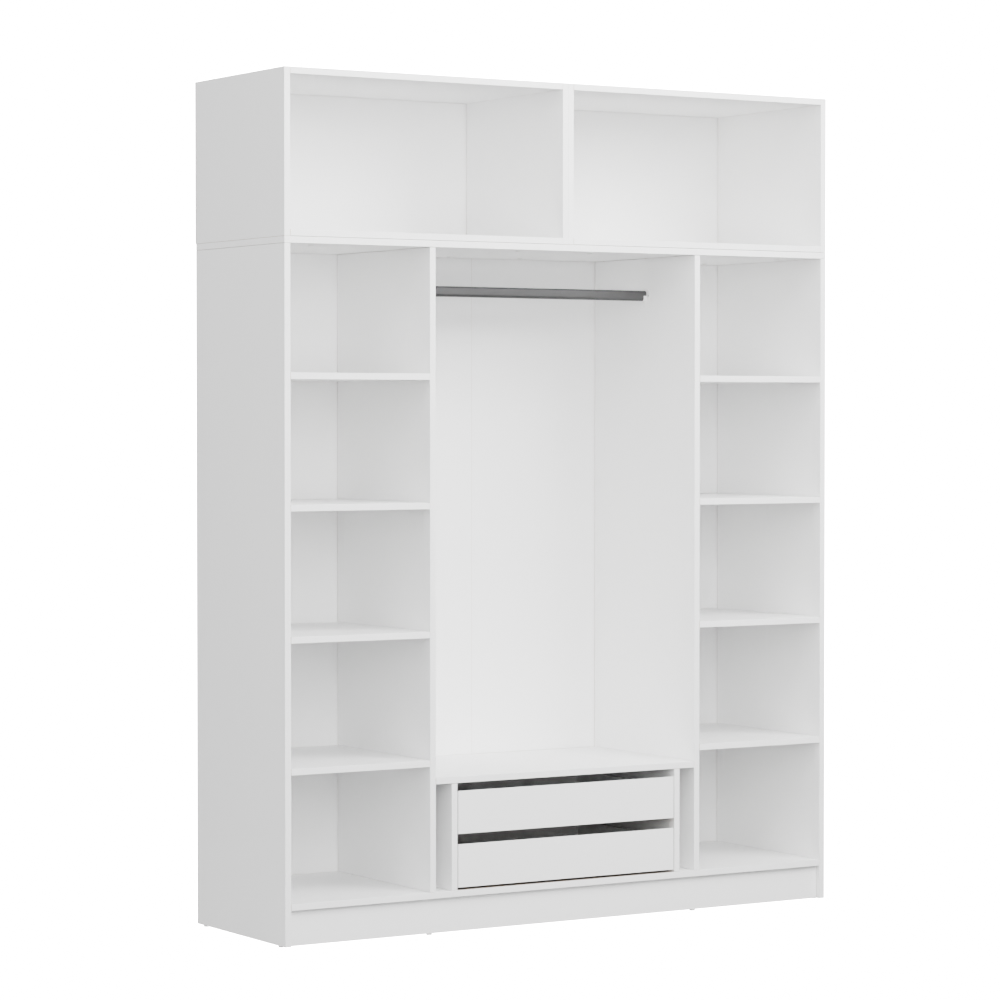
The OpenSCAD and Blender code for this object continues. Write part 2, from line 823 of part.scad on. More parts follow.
// Roller on the right, from x0 towards the outside
module roller(x0, y, z) {
    translate([x0, y, z]) rotate([0, 90, 0]) difference() {
        cylinder(d = roller_d, h = roller_w);
        translate([0, 0, -cut]) cylinder(d = rivet_d + 2 * rivet_play, h = roller_w + 2 * cut);
    }
}

module roller_pair(x0, y, z) {
    color(nylon_white) placed() {
        roller(x0, y, z);
        mirror([1, 0, 0]) roller(x0, y, z);
    }
}

module front_rollers(i) {
    roller_pair(
        housing_in_x - runner_t - roller_play - roller_w,
        front_roller_y,
        side_z(i) + front_roller_rise
    );
}

module rear_rollers(i) {
    roller_pair(
        drawer_out_x + runner_t + roller_play, rear_roller_y, side_z(i) + rear_roller_rise
    );
}

// Groove for the bottom of drawer i, in the sides and the front
module bottom_groove(i) {
    block(
        [-drawer_in_x - groove_depth, drawer_in_x + groove_depth],
        [board_t - groove_depth, drawer_rear_y + cut],
        [side_z(i) + groove_lift, side_z(i) + groove_lift + groove_h]
    );
}

module drawer_front(i) {
    color(board_white) placed() difference() {
        block([-front_half_w, front_half_w], [0, board_t], [drawer_z(i), drawer_z(i) + front_h]);
        bolt_holes(drawer_cams(i));
        bottom_groove(i);
    }
}

module drawer_side(i, side) {
    color(board_white) placed() difference() {
        block(
            side < 0 ? [-drawer_out_x, -drawer_in_x] : [drawer_in_x, drawer_out_x],
            [board_t, drawer_rear_y],
            [side_z(i), side_z(i) + drawer_side_h]
        );
        bottom_groove(i);
        cam_holes([for (joint = drawer_cams(i)) if (joint[0][0] * side > 0) joint], drawer_board_t);
        confirmat_holes(
            [for (joint = drawer_back_screws(i)) if (joint[0][0] * side > 0) joint],
            drawer_board_t
        );
        small_screw_holes([for (joint = drawer_runner_screws(i))
            if (joint[0][0] * side > 0) joint]);
    }
}

module drawer_back(i) {
    color(board_white) placed() difference() {
        block(
            [-drawer_in_x, drawer_in_x],
            [drawer_rear_y - drawer_board_t, drawer_rear_y],
            [side_z(i) + groove_lift + groove_h, side_z(i) + drawer_side_h]
        );
        confirmat_holes(drawer_back_screws(i), drawer_board_t);
        small_screw_holes(drawer_bottom_screws(i));
    }
}

module drawer_bottom(i) {
    edge_x = drawer_in_x + groove_depth - hole_end_play;
    color(back_white) placed() difference() {
        block(
            [-edge_x, edge_x],
            [board_t - groove_depth + hole_end_play, drawer_rear_y],
            [
                side_z(i) + groove_lift + hole_play,
                side_z(i) + groove_lift + hole_play + drawer_bottom_t
            ]
        );
        small_screw_holes(drawer_bottom_screws(i));
    }
}

// Angle on the right drawer side, with its rear roller rivet
module drawer_runner(i) {
    web_x = drawer_out_x + runner_t;
    difference() {
        union() {
            block([drawer_out_x, web_x], [runner_y, runner_y + runner_l],
                [side_z(i), side_z(i) + ledge_rise + runner_t]);
            block([drawer_out_x, drawer_out_x + profile_reach], [runner_y, runner_y + runner_l],
                [side_z(i) + ledge_rise, side_z(i) + ledge_rise + runner_t]);
            rivet(web_x, 1, rear_roller_y, side_z(i) + rear_roller_rise);
        }
        small_screw_holes([for (joint = drawer_runner_screws(i)) if (joint[0][0] > 0) joint]);
    }
}

module drawer_runners(i) {
    color(runner_white) placed() {
        drawer_runner(i);
        mirror([1, 0, 0]) drawer_runner(i);
    }
}

module drawer_fasteners(i) {
    color(zinc) placed() {
        for (joint = drawer_cams(i)) at(joint) {
            cam_lock(drawer_board_t);
            cam_bolt();
        }
        for (joint = drawer_back_screws(i)) at(joint) confirmat(drawer_board_t);
        for (joint = drawer_runner_screws(i)) at(joint) small_screw();
        for (joint = drawer_bottom_screws(i)) at(joint) small_screw();
    }
}

side_panel(-1);  // left_side_panel
side_panel(1);  // right_side_panel
divider(-1);  // left_divider
divider(1);  // right_divider
top_panel();
bottom_panel();
plinth(plinth_front_y, front_plinth_ends);  // front_plinth
plinth(plinth_rear_y, rear_plinth_ends);  // rear_plinth
shelf(-1, 0);  // left_shelf_1
shelf(-1, 1);  // left_shelf_2
shelf(-1, 2);  // left_shelf_3
shelf(-1, 3);  // left_shelf_4
shelf(1, 0);  // right_shelf_1
shelf(1, 1);  // right_shelf_2
shelf(1, 2);  // right_shelf_3
shelf(1, 3);  // right_shelf_4
drawer_deck();
housing_side(-1);  // left_housing_side
housing_side(1);  // right_housing_side
back_panel(-1);  // left_back_panel
back_panel(1);  // right_back_panel
box_side(-1, true);  // left_box_outer_side
box_side(-1, false);  // left_box_inner_side
box_top(-1);  // left_box_top
box_bottom(-1);  // left_box_bottom
box_back(-1);  // left_box_back
box_side(1, true);  // right_box_outer_side
box_side(1, false);  // right_box_inner_side
box_top(1);  // right_box_top
box_bottom(1);  // right_box_bottom
box_back(1);  // right_box_back
hanging_rail();
rail_sockets();
floor_glides();
cam_locks();
cam_bolts();
dowels();
confirmat_screws();
box_connectors();
cabinet_runners();
small_screws();
drawer_front(0);  // lower_drawer_front
drawer_side(0, -1);  // lower_drawer_left_side
drawer_side(0, 1);  // lower_drawer_right_side
drawer_back(0);  // lower_drawer_back
drawer_bottom(0);  // lower_drawer_bottom
drawer_runners(0);  // lower_drawer_runners
drawer_fasteners(0);  // lower_drawer_fasteners
front_rollers(0);  // lower_front_rollers
rear_rollers(0);  // lower_rear_rollers
drawer_front(1);  // upper_drawer_front
drawer_side(1, -1);  // upper_drawer_left_side
drawer_side(1, 1);  // upper_drawer_right_side
drawer_back(1);  // upper_drawer_back
drawer_bottom(1);  // upper_drawer_bottom
drawer_runners(1);  // upper_drawer_runners
drawer_fasteners(1);  // upper_drawer_fasteners
front_rollers(1);  // upper_front_rollers
rear_rollers(1);  // upper_rear_rollers
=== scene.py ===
# %% [markdown]
# # A closet organizer unit in a white studio
#
# The unit is flat-pack furniture: white coated chipboard held together by cam locks and
# dowels. A hanging bay with an oval rail stands between two bays of shelves, two drawers
# slide under it on roller runners, and two open boxes stand on top.
#
# The boards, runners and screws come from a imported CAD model, which stays as it is. What
# is built here is the dressing: softened edges, edge bands, nails, screw heads and the
# finishes, then the studio around it.

import json
import math

import bmesh
import bpy
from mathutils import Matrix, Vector

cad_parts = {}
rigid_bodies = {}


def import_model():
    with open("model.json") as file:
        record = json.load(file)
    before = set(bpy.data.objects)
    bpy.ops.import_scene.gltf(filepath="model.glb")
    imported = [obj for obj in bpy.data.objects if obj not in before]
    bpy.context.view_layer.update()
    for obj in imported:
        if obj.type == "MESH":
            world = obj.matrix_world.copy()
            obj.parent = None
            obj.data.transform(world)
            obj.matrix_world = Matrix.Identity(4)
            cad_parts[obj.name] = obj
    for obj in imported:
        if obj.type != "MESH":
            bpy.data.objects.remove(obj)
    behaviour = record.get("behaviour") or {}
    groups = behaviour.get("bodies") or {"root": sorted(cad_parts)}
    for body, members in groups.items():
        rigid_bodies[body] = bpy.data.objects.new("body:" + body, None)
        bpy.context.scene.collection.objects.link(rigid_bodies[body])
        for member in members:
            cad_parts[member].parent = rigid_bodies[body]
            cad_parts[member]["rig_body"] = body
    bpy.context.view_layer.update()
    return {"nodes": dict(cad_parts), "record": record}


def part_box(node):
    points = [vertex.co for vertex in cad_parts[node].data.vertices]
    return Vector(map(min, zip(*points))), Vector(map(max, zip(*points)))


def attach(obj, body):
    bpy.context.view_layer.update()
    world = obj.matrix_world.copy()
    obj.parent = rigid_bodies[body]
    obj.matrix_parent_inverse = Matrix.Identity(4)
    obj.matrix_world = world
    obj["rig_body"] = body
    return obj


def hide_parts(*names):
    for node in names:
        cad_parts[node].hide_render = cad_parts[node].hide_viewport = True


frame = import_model()
nodes = frame["nodes"]
MM = 0.001

# %% [markdown]
# ## The camera
#
# The photograph was taken from the unit's front left, from a little above the middle of
# its height, with a long lens. The place and the lens below were solved from the straight
# edges of the boards with their sizes held, so the picture of the model lies over the
# photograph. A camera can also be aimed with a Track To constraint, but a plain turn and
# pitch are easier to read and leave nothing live in the file.

# %% Camera
CAMERA_PLACE = (-5.235118, -8.321441, 1.422682)
CAMERA_TURN = math.radians(31.8644)
CAMERA_PITCH = math.radians(1.3896)
LENS_MM = 123.499
SENSOR_MM = 36.0
FAR_CLIP = 300.0


def link(thing):
    bpy.context.scene.collection.objects.link(thing)
    return thing


camera_data = bpy.data.cameras.new("studio_camera")
camera_data.lens = LENS_MM
camera_data.sensor_width = SENSOR_MM
camera_data.clip_end = FAR_CLIP
camera = link(bpy.data.objects.new("studio_camera", camera_data))
camera.location = CAMERA_PLACE
camera.rotation_euler = (math.pi / 2 - CAMERA_PITCH, 0, -CAMERA_TURN)
bpy.context.scene.camera = camera
print("camera stands", round(Vector(CAMERA_PLACE).length, 2), "m from the unit's foot")

# %% [markdown]
# ## Soft boxes
#
# A white product in a white room is shaped by small steps of grey, so the light does the
# drawing. A low soft box by the camera reaches the back of the bays, one on the right
# lights the walls that face it, and three more in front, higher up, leave the ceilings
# darker than the floors. A single sun lamp would be quicker, but it would cut hard shadows
# across the shelves.

# %% Soft boxes
AIM = Vector((0, 0, 1.2))
FULL_POWER = 500.0
# Each soft box: turn and height in degrees, distance, width and height in metres, share of power
SOFT_BOXES = {
    "low_by_the_camera": (-20, 8, 5.0, 2.5, 2.5, 0.2037),
    "right": (30, 30, 5.0, 2.5, 2.5, 0.3086),
    "high_in_front": (5, 55, 5.0, 2.5, 2.5, 0.1173),
    "middle_in_front": (5, 30, 5.0, 2.5, 2.5, 0.0399),
    "near_the_top": (-20, 40, 3.2, 3.0, 1.5, 0.0325),
}

for name, (turn, rise, distance, width, height, share) in SOFT_BOXES.items():
    turn, rise = math.radians(turn), math.radians(rise)
    level = math.cos(rise)
    towards = Vector((math.sin(turn) * level, -math.cos(turn) * level, math.sin(rise)))
    lamp_data = bpy.data.lights.new(name, "AREA")
    lamp_data.shape = "RECTANGLE"
    lamp_data.size, lamp_data.size_y = width, height
    lamp_data.energy = FULL_POWER * share
    lamp = link(bpy.data.objects.new(name, lamp_data))
    lamp.location = AIM + towards * distance
    lamp.rotation_euler = towards.to_track_quat("Z", "Y").to_euler()
    print(name, round(lamp_data.energy), "W")

# %% [markdown]
# ## Air light, floor and tone curve
#
# The rest of the light comes from the room. It is brightest on the left, as from a wall
# of windows, and falls off towards the right, so the world's strength follows the
# direction that a ray leaves in. What the camera itself sees behind the unit is plain
# white, and so is the floor: a white sweep that is bright enough to lose its own shadows.
# That bright floor lights nothing, or it would wash out the undersides. A second, greyer
# floor in the same place does the bouncing and isn't seen.
#
# The AgX curve rolls bright tones off gently, as a product photograph does, where the
# standard curve would clip the front edges. Light goes on bouncing between white boards
# for a long while, so the narrow bays come out too dark if it is cut off after the usual
# four bounces.

# %% Air light and floors
AIR_FROM_LEFT = 1.7011
AIR_ALL_ROUND = 0.1661
BACKDROP_WHITE = 9.0
BOUNCE_GREY = 0.22
FLOOR_REACH = 60.0
LIGHT_BOUNCES = 8

world = bpy.data.worlds.new("studio_air")
world.use_nodes = True
bpy.context.scene.world = world
bpy.context.scene.view_settings.view_transform = "AgX"
bpy.context.scene.view_settings.look = "AgX - High Contrast"
bpy.context.scene.cycles.diffuse_bounces = LIGHT_BOUNCES


def add_node(tree, kind, **settings):
    node = tree.nodes.new(kind)
    for name, value in settings.items():
        setattr(node, name, value)
    return node


def arithmetic(tree, operation, first, second):
    node = add_node(tree, "ShaderNodeMath", operation=operation)
    for socket, value in zip(node.inputs, (first, second)):
        if isinstance(value, (int, float)):
            socket.default_value = value
        else:
            tree.links.new(value, socket)
    return node.outputs[0]


def build_air(tree):
    """Bright from the left for the light, plain white for the camera"""
    direction = add_node(tree, "ShaderNodeTexCoord").outputs["Generated"]
    parts = add_node(tree, "ShaderNodeSeparateXYZ")
    tree.links.new(direction, parts.inputs[0])
    leftwards = arithmetic(tree, "MULTIPLY", parts.outputs["X"], -1.0)
    leftness = arithmetic(tree, "MAXIMUM", leftwards, 0.0)
    from_left = arithmetic(tree, "MULTIPLY", leftness, AIR_FROM_LEFT)
    strength = arithmetic(tree, "ADD", from_left, AIR_ALL_ROUND)
    air = tree.nodes["Background"]
    tree.links.new(strength, air.inputs["Strength"])
    air.inputs["Color"].default_value = (1, 1, 1, 1)
    backdrop = add_node(tree, "ShaderNodeBackground")
    backdrop.inputs["Color"].default_value = (1, 1, 1, 1)
    backdrop.inputs["Strength"].default_value = BACKDROP_WHITE
    pick = add_node(tree, "ShaderNodeMixShader")
    rays = add_node(tree, "ShaderNodeLightPath")
    tree.links.new(rays.outputs["Is Camera Ray"], pick.inputs["Fac"])
    tree.links.new(air.outputs[0], pick.inputs[1])
    tree.links.new(backdrop.outputs[0], pick.inputs[2])
    tree.links.new(pick.outputs[0], tree.nodes["World Output"].inputs["Surface"])


def lay_floor(name):
    mesh = bpy.data.meshes.new(name)
    square = [(-1, -1), (1, -1), (1, 1), (-1, 1)]
    corners = [(x * FLOOR_REACH, y * FLOOR_REACH, 0) for x, y in square]
    mesh.from_pydata(corners, [], [(0, 1, 2, 3)])
    floor = link(bpy.data.objects.new(name, mesh))
    material = bpy.data.materials.new(name)
    material.use_nodes = True
    mesh.materials.append(material)
    return floor, material.node_tree.nodes["Principled BSDF"]


build_air(world.node_tree)
sweep, sweep_shader = lay_floor("white_sweep")
sweep_shader.inputs["Base Color"].default_value = (0, 0, 0, 1)
sweep_shader.inputs["Specular IOR Level"].default_value = 0.0
sweep_shader.inputs["Emission Color"].default_value = (1, 1, 1, 1)
sweep_shader.inputs["Emission Strength"].default_value = BACKDROP_WHITE
sweep.visible_diffuse = sweep.visible_glossy = sweep.visible_transmission = False
sweep.visible_shadow = sweep.visible_volume_scatter = False
bounce, bounce_shader = lay_floor("bounce_floor")
bounce_shader.inputs["Base Color"].default_value = (BOUNCE_GREY,) * 3 + (1,)
bounce_shader.inputs["Roughness"].default_value = 1.0
bounce.visible_camera = False
print("white sweep and bounce floor reach", FLOOR_REACH, "m out")

# %% [markdown]
# ## Helpers for the finishes
#
# Every finish is one Principled shader fed by noise that reads Object coordinates, in
# metres, so that the grain keeps its real size on every board. Image textures would show
# their tiling on such wide plain faces. Each finish needs the same few moves: a stretched
# noise, a colour that wanders between two tones, a roughness that wanders between two
# values, and a bump with a real height.

# %% Finish helpers
MIX_FIRST, MIX_SECOND, MIX_RESULT = 6, 7, 2      # the colour sockets of a Mix node
NOISE_LOW, NOISE_HIGH = 0.3, 0.7
WEAR_SPOT = 12 * MM
WEAR_MOST = 0.6
WEAR_FROM, WEAR_TO = 0.45, 0.65


class Finish:
    def __init__(self, name):
        self.material = bpy.data.materials.new(name)
        self.material.use_nodes = True
        self.tree = self.material.node_tree
        self.shader = self.tree.nodes["Principled BSDF"]
        self.place = add_node(self.tree, "ShaderNodeTexCoord").outputs["Object"]

    def noise(self, grain, detail=3.0, stretch=(1, 1, 1)):
        """Cloudy noise, about one cloud per grain metres"""
        mapping = add_node(self.tree, "ShaderNodeMapping")
        mapping.inputs["Scale"].default_value = [s / grain for s in stretch]
        self.tree.links.new(self.place, mapping.inputs["Vector"])
        node = add_node(self.tree, "ShaderNodeTexNoise")
        node.inputs["Scale"].default_value = 1.0
        node.inputs["Detail"].default_value = detail
        self.tree.links.new(mapping.outputs["Vector"], node.inputs["Vector"])
        return node.outputs["Fac"]

    def flakes(self, grain, output="Color"):
        """Cells about grain metres wide, each with a colour of its own"""
        node = add_node(self.tree, "ShaderNodeTexVoronoi")
        node.inputs["Scale"].default_value = 1 / grain
        self.tree.links.new(self.place, node.inputs["Vector"])
        return node.outputs[output]

    def between(self, share, low, high, from_low=NOISE_LOW, from_high=NOISE_HIGH):
        """Stretch the middle of a noise's range to run from low to high"""
        node = add_node(self.tree, "ShaderNodeMapRange", clamp=True)
        self.tree.links.new(share, node.inputs["Value"])
        ends = {"From Min": from_low, "From Max": from_high, "To Min": low, "To Max": high}
        for socket, value in ends.items():
            node.inputs[socket].default_value = value
        return node.outputs["Result"]

    def tint(self, share, first, second):
        """Mix two colours by a share; either may come from another node"""
        node = add_node(self.tree, "ShaderNodeMix", data_type="RGBA")
        self.tree.links.new(share, node.inputs["Factor"])
        for socket, colour in ((MIX_FIRST, first), (MIX_SECOND, second)):
            if isinstance(colour, tuple):
                node.inputs[socket].default_value = colour + (1,)
            else:
                self.tree.links.new(colour, node.inputs[socket])
        return node.outputs[MIX_RESULT]

    def wander(self, share, first, second):
        """A colour that wanders between two tones with the noise"""
        return self.tint(self.between(share, 0, 1), first, second)

    def bump(self, height, depth):
        """Raise the surface by up to depth metres where height is bright"""
        node = add_node(self.tree, "ShaderNodeBump")
        node.inputs["Strength"].default_value = 1.0
        node.inputs["Distance"].default_value = depth
        self.tree.links.new(height, node.inputs["Height"])
        self.tree.links.new(node.outputs["Normal"], self.shader.inputs["Normal"])

    def rubbed(self, colour, worn):
        """Let the colour turn to the worn one in spots along the softened edges"""
        wear = add_node(self.tree, "ShaderNodeAttribute", attribute_name="edge_wear").outputs["Fac"]
        spots = self.between(self.noise(WEAR_SPOT, 4.0), 0.0, WEAR_MOST, WEAR_FROM, WEAR_TO)
        return self.tint(arithmetic(self.tree, "MULTIPLY", wear, spots), colour, worn)

    def use(self, colour, roughness, metallic=0.0):
        """Feed the shader and hand over the finished material"""
        self.tree.links.new(colour, self.shader.inputs["Base Color"])
        self.tree.links.new(roughness, self.shader.inputs["Roughness"])
        self.shader.inputs["Metallic"].default_value = metallic
        return self.material


print("finish helpers ready")

# %% [markdown]
# ## White melamine and its edge band
#
# The boards are faced with paper soaked in melamine resin and pressed on a steel plate
# that leaves a fine pearl texture, a few hundredths of a millimetre deep. From a step away
# the white looks even, and only drifts by a shade across a board. The cut edges that show
# get a plastic band, a touch smoother, which rubs dull along its corners. A flat white
# shader would look like paint on a computer model, so colour, gloss and surface all
# wander a little.

# %% White melamine and edge band
def white_melamine():
    finish = Finish("white_melamine")
    drift = finish.wander(finish.noise(0.9), (0.896, 0.897, 0.898), (0.91, 0.909, 0.905))
    fine = finish.between(finish.noise(0.02, 4.0), 0, 0.12)
    colour = finish.rubbed(finish.tint(fine, drift, (0.86, 0.86, 0.858)), (0.8, 0.79, 0.775))
    finish.bump(finish.noise(1.1 * MM, 2.0), 0.02 * MM)
    return finish.use(colour, finish.between(finish.noise(0.05, 5.0), 0.42, 0.48))


def white_edge_band():
    finish = Finish("white_edge_band")
    streaks = finish.noise(0.006, 3.0, stretch=(0.05, 1, 0.05))
    white = finish.wander(streaks, (0.89, 0.891, 0.892), (0.912, 0.911, 0.908))
    colour = finish.rubbed(white, (0.79, 0.78, 0.765))
    finish.bump(finish.noise(0.8 * MM, 2.0), 0.01 * MM)
    return finish.use(colour, finish.between(finish.noise(0.03, 4.0), 0.36, 0.44))


MELAMINE = white_melamine()
EDGE_BAND = white_edge_band()
print("finishes:", MELAMINE.name, EDGE_BAND.name)

# %% [markdown]
# ## Raw chipboard and hardboard
#
# Where a board isn't banded, at its rear edge, under its foot and inside every drilled
# hole, the pressed wood chips show: pale flakes two or three millimetres long with darker
# glue between. Voronoi cells give such flakes. The back panels and the drawer bottoms are
# thin hardboard, lacquered white on the side that shows. The back panels are bare brown
# fibre behind, and the drawer bottoms have a grey primed paper below.

# %% Raw chipboard and hardboard
def raw_chipboard():
    finish = Finish("raw_chipboard")
    chips = add_node(finish.tree, "ShaderNodeSeparateColor")
    finish.tree.links.new(finish.flakes(2.4 * MM), chips.inputs[0])
    tone = finish.tint(chips.outputs["Red"], (0.42, 0.29, 0.16), (0.72, 0.57, 0.38))
    dust = finish.between(finish.noise(0.7 * MM, 5.0), 0, 0.5)
    colour = finish.tint(dust, tone, (0.3, 0.2, 0.11))
    finish.bump(finish.flakes(2.4 * MM, "Distance"), 0.3 * MM)
    return finish.use(colour, finish.between(chips.outputs["Green"], 0.75, 0.92, 0, 1))


def brown_hardboard():
    finish = Finish("brown_hardboard")
    drift = finish.wander(finish.noise(0.4, 4.0), (0.27, 0.165, 0.09), (0.31, 0.195, 0.11))
    smear = finish.between(finish.noise(0.012, 5.0), 0, 0.25)
    smears = finish.tint(smear, drift, (0.2, 0.115, 0.06))
    fibres = finish.between(finish.noise(0.5 * MM, 6.0, stretch=(1, 1, 0.25)), 0, 0.55, 0.45, 0.7)
    colour = finish.tint(fibres, smears, (0.42, 0.29, 0.18))
    finish.bump(finish.flakes(1.6 * MM, "Distance"), 0.1 * MM)
    return finish.use(colour, finish.between(finish.noise(0.02, 3.0), 0.62, 0.8))


def white_lacquer():
    finish = Finish("white_lacquer")
    white = finish.wander(finish.noise(0.7), (0.892, 0.893, 0.894), (0.91, 0.909, 0.906))
    specks = finish.between(finish.noise(4 * MM, 4.0), 0, 0.15, 0.6, 0.75)
    colour = finish.tint(specks, white, (0.84, 0.835, 0.82))
    finish.bump(finish.noise(1.5 * MM, 4.0), 0.025 * MM)
    return finish.use(colour, finish.between(finish.noise(0.08, 4.0), 0.42, 0.5))


def grey_primer():
    finish = Finish("grey_primer")
    cloud = finish.wander(finish.noise(0.05, 5.0), (0.46, 0.46, 0.455), (0.54, 0.54, 0.535))
    fibres = finish.between(finish.noise(0.7 * MM, 5.0, stretch=(1, 0.25, 1)), 0, 0.4, 0.45, 0.7)
    colour = finish.tint(fibres, cloud, (0.6, 0.6, 0.59))
    finish.bump(finish.noise(0.8 * MM, 5.0), 0.04 * MM)
    return finish.use(colour, finish.between(finish.noise(0.02, 3.0), 0.6, 0.75))


CHIPBOARD = raw_chipboard()
HARDBOARD = brown_hardboard()
LACQUER = white_lacquer()
PRIMER = grey_primer()
print("finishes:", CHIPBOARD.name, HARDBOARD.name, LACQUER.name, PRIMER.name)

# %% [markdown]
# ## Metals
#
# Three metals show. The hanging rail is a satin grey tube, drawn lengthwise, so its fine
# scratches run along X: the noise is stretched a hundred times that way. The runners are
# rolled steel under a white powder coat with a soft orange peel. Screws and cam locks are
# zinc plated, and zinc dries in small crystals that catch the light unevenly.

# %% Metals
def satin_rail():
    finish = Finish("satin_rail")
    scratches = finish.noise(0.5 * MM, 3.0, stretch=(0.01, 1, 1))
    handling = finish.between(finish.noise(0.12, 4.0), 0, 0.5)
    drawn = finish.wander(scratches, (0.162, 0.162, 0.163), (0.21, 0.21, 0.211))
    colour = finish.tint(handling, drawn, (0.166, 0.166, 0.167))
    finish.bump(scratches, 0.012 * MM)
    return finish.use(colour, finish.between(scratches, 0.4, 0.52), metallic=0.85)


def powder_coat():
    finish = Finish("powder_coat")
    white = finish.wander(finish.noise(0.04), (0.8, 0.8, 0.79), (0.85, 0.85, 0.84))
    colour = finish.rubbed(white, (0.5, 0.5, 0.5))
    finish.bump(finish.noise(1.6 * MM, 2.0), 0.04 * MM)
    return finish.use(colour, finish.between(finish.noise(3 * MM), 0.3, 0.42))


def zinc_plate():
    finish = Finish("zinc_plate")
    crystals = add_node(finish.tree, "ShaderNodeSeparateColor")
    finish.tree.links.new(finish.flakes(0.9 * MM), crystals.inputs[0])
    plate = finish.tint(crystals.outputs["Red"], (0.55, 0.56, 0.58), (0.68, 0.69, 0.7))
    tarnish = finish.between(finish.noise(3 * MM, 5.0), 0, 0.5)
    colour = finish.tint(tarnish, plate, (0.42, 0.41, 0.38))
    finish.bump(finish.flakes(0.9 * MM, "Distance"), 0.02 * MM)
    roughness = finish.between(crystals.outputs["Green"], 0.28, 0.45, 0, 1)
    return finish.use(colour, roughness, metallic=1.0)


RAIL = satin_rail()
COATED_STEEL = powder_coat()
ZINC = zinc_plate()
print("finishes:", RAIL.name, COATED_STEEL.name, ZINC.name)

# %% [markdown]
# ## Plastics and beech
#
# The rail sockets and the floor glides are moulded in white plastic from a spark-eroded
# mould, which gives a fine even grain. The rollers are nylon, a little yellower and
# slicker where they run. The dowels are raw beech with short dark flecks along the grain.

# %% Plastics and beech
def moulded_white():
    finish = Finish("moulded_white")
    white = finish.wander(finish.noise(0.02), (0.86, 0.86, 0.85), (0.895, 0.893, 0.885))
    colour = finish.rubbed(white, (0.74, 0.73, 0.7))
    finish.bump(finish.noise(0.4 * MM, 3.0), 0.02 * MM)
    return finish.use(colour, finish.between(finish.noise(4 * MM), 0.38, 0.48))


def roller_nylon():
    finish = Finish("roller_nylon")
    milky = finish.wander(finish.noise(6 * MM), (0.76, 0.745, 0.69), (0.83, 0.82, 0.775))
    grime = finish.between(finish.noise(2 * MM, 5.0), 0, 0.35, 0.5, 0.75)
    colour = finish.tint(grime, milky, (0.5, 0.48, 0.44))
    finish.bump(finish.noise(0.5 * MM, 3.0), 0.015 * MM)
    return finish.use(colour, finish.between(finish.noise(3 * MM), 0.28, 0.42))


def raw_beech():
    finish = Finish("raw_beech")
    grain = finish.noise(0.8 * MM, 4.0, stretch=(0.15, 1, 1))
    wood = finish.wander(grain, (0.5, 0.33, 0.18), (0.68, 0.49, 0.3))
    flecks = finish.between(finish.noise(0.5 * MM, 2.0, stretch=(0.3, 1, 1)), 0, 0.7, 0.6, 0.7)
    colour = finish.tint(flecks, wood, (0.33, 0.19, 0.1))
    finish.bump(grain, 0.05 * MM)
    return finish.use(colour, finish.between(grain, 0.6, 0.75))


PLASTIC = moulded_white()
NYLON = roller_nylon()
BEECH = raw_beech()
print("finishes:", PLASTIC.name, NYLON.name, BEECH.name)

# %% [markdown]
# ## The sides of a board
#
# A board in the CAD model is one sharp block with its drilled holes. The real one is a
# sandwich: melamine on both faces, a plastic band on the edges that show, and raw
# chipboard on the others and in the holes. The CAD mesh is never changed, so the board is
# copied, its loose triangles are merged, and each face gets its finish by the way it
# points and the side that it lies on. Faces that lie on no side are the walls of holes.

# %% The sides of a board
SIDES = [(axis, sign) for axis in range(3) for sign in (-1, 1)]
LEFT, RIGHT, FRONT, BEHIND, BELOW, ABOVE = SIDES
BAND_T = 0.8 * MM
MERGE = 0.01 * MM
ON_PLANE = 0.05 * MM
SQUARE_ON = 0.999
FACE, BAND, RAW = range(3)
BOARD_FINISHES = [MELAMINE, EDGE_BAND, CHIPBOARD]


def merged_copy(mesh):
    work = bmesh.new()
    work.from_mesh(mesh)
    bmesh.ops.remove_doubles(work, verts=work.verts, dist=MERGE)
    return work


def thin_axis(low, high):
    """The axis along which a board is thinnest"""
    return min(range(3), key=lambda i: high[i] - low[i])


def side_at(low, high, side):
    """Where one outer side of a box lies along its own axis"""
    axis, sign = side
    return high[axis] if sign > 0 else low[axis]


def pointing(axis, length):
    """A vector along one axis"""
    vector = Vector((0, 0, 0))
    vector[axis] = length
    return vector


def outer_side(face, low, high):
    """(axis, sign) of the board's outer side that this face lies on, or None in a hole"""
    axis = max(range(3), key=lambda i: abs(face.normal[i]))
    if abs(face.normal[axis]) < SQUARE_ON:
        return None
    side = (axis, 1 if face.normal[axis] > 0 else -1)
    away = face.calc_center_median()[axis] - side_at(low, high, side)
    return side if abs(away) < ON_PLANE else None


def paint_board(work, low, high, banded):
    thin = thin_axis(low, high)
    for face in work.faces:
        side = outer_side(face, low, high)
        if side in banded:
            face.material_index = BAND
        elif side and side[0] == thin:
            middle = face.calc_center_median()
            near = [abs(middle[s[0]] - side_at(low, high, s)) < BAND_T for s in banded]
            face.material_index = BAND if any(near) else FACE
        else:
            face.material_index = RAW


print("a board has", len(SIDES), "sides and", len(BOARD_FINISHES), "finishes")

# %% [markdown]
# ## Joints, bands and softened edges
#
# Between two real boards there is always a hair of air, which shows a joint as a fine dark
# line. So the sawn ends are first drawn back by half a millimetre, and the rear edges,
# which a back panel covers, by a little more.
#
# The band is 0.8 mm thick and shows as a hairline strip beside the edge, so the faces are
# cut there. Only the long edges beside a band are softened. The ends stay sharp, or every
# joint would open up into a groove. A Bevel modifier would soften the rims of the holes
# too, so the bevel is made on chosen edges instead.

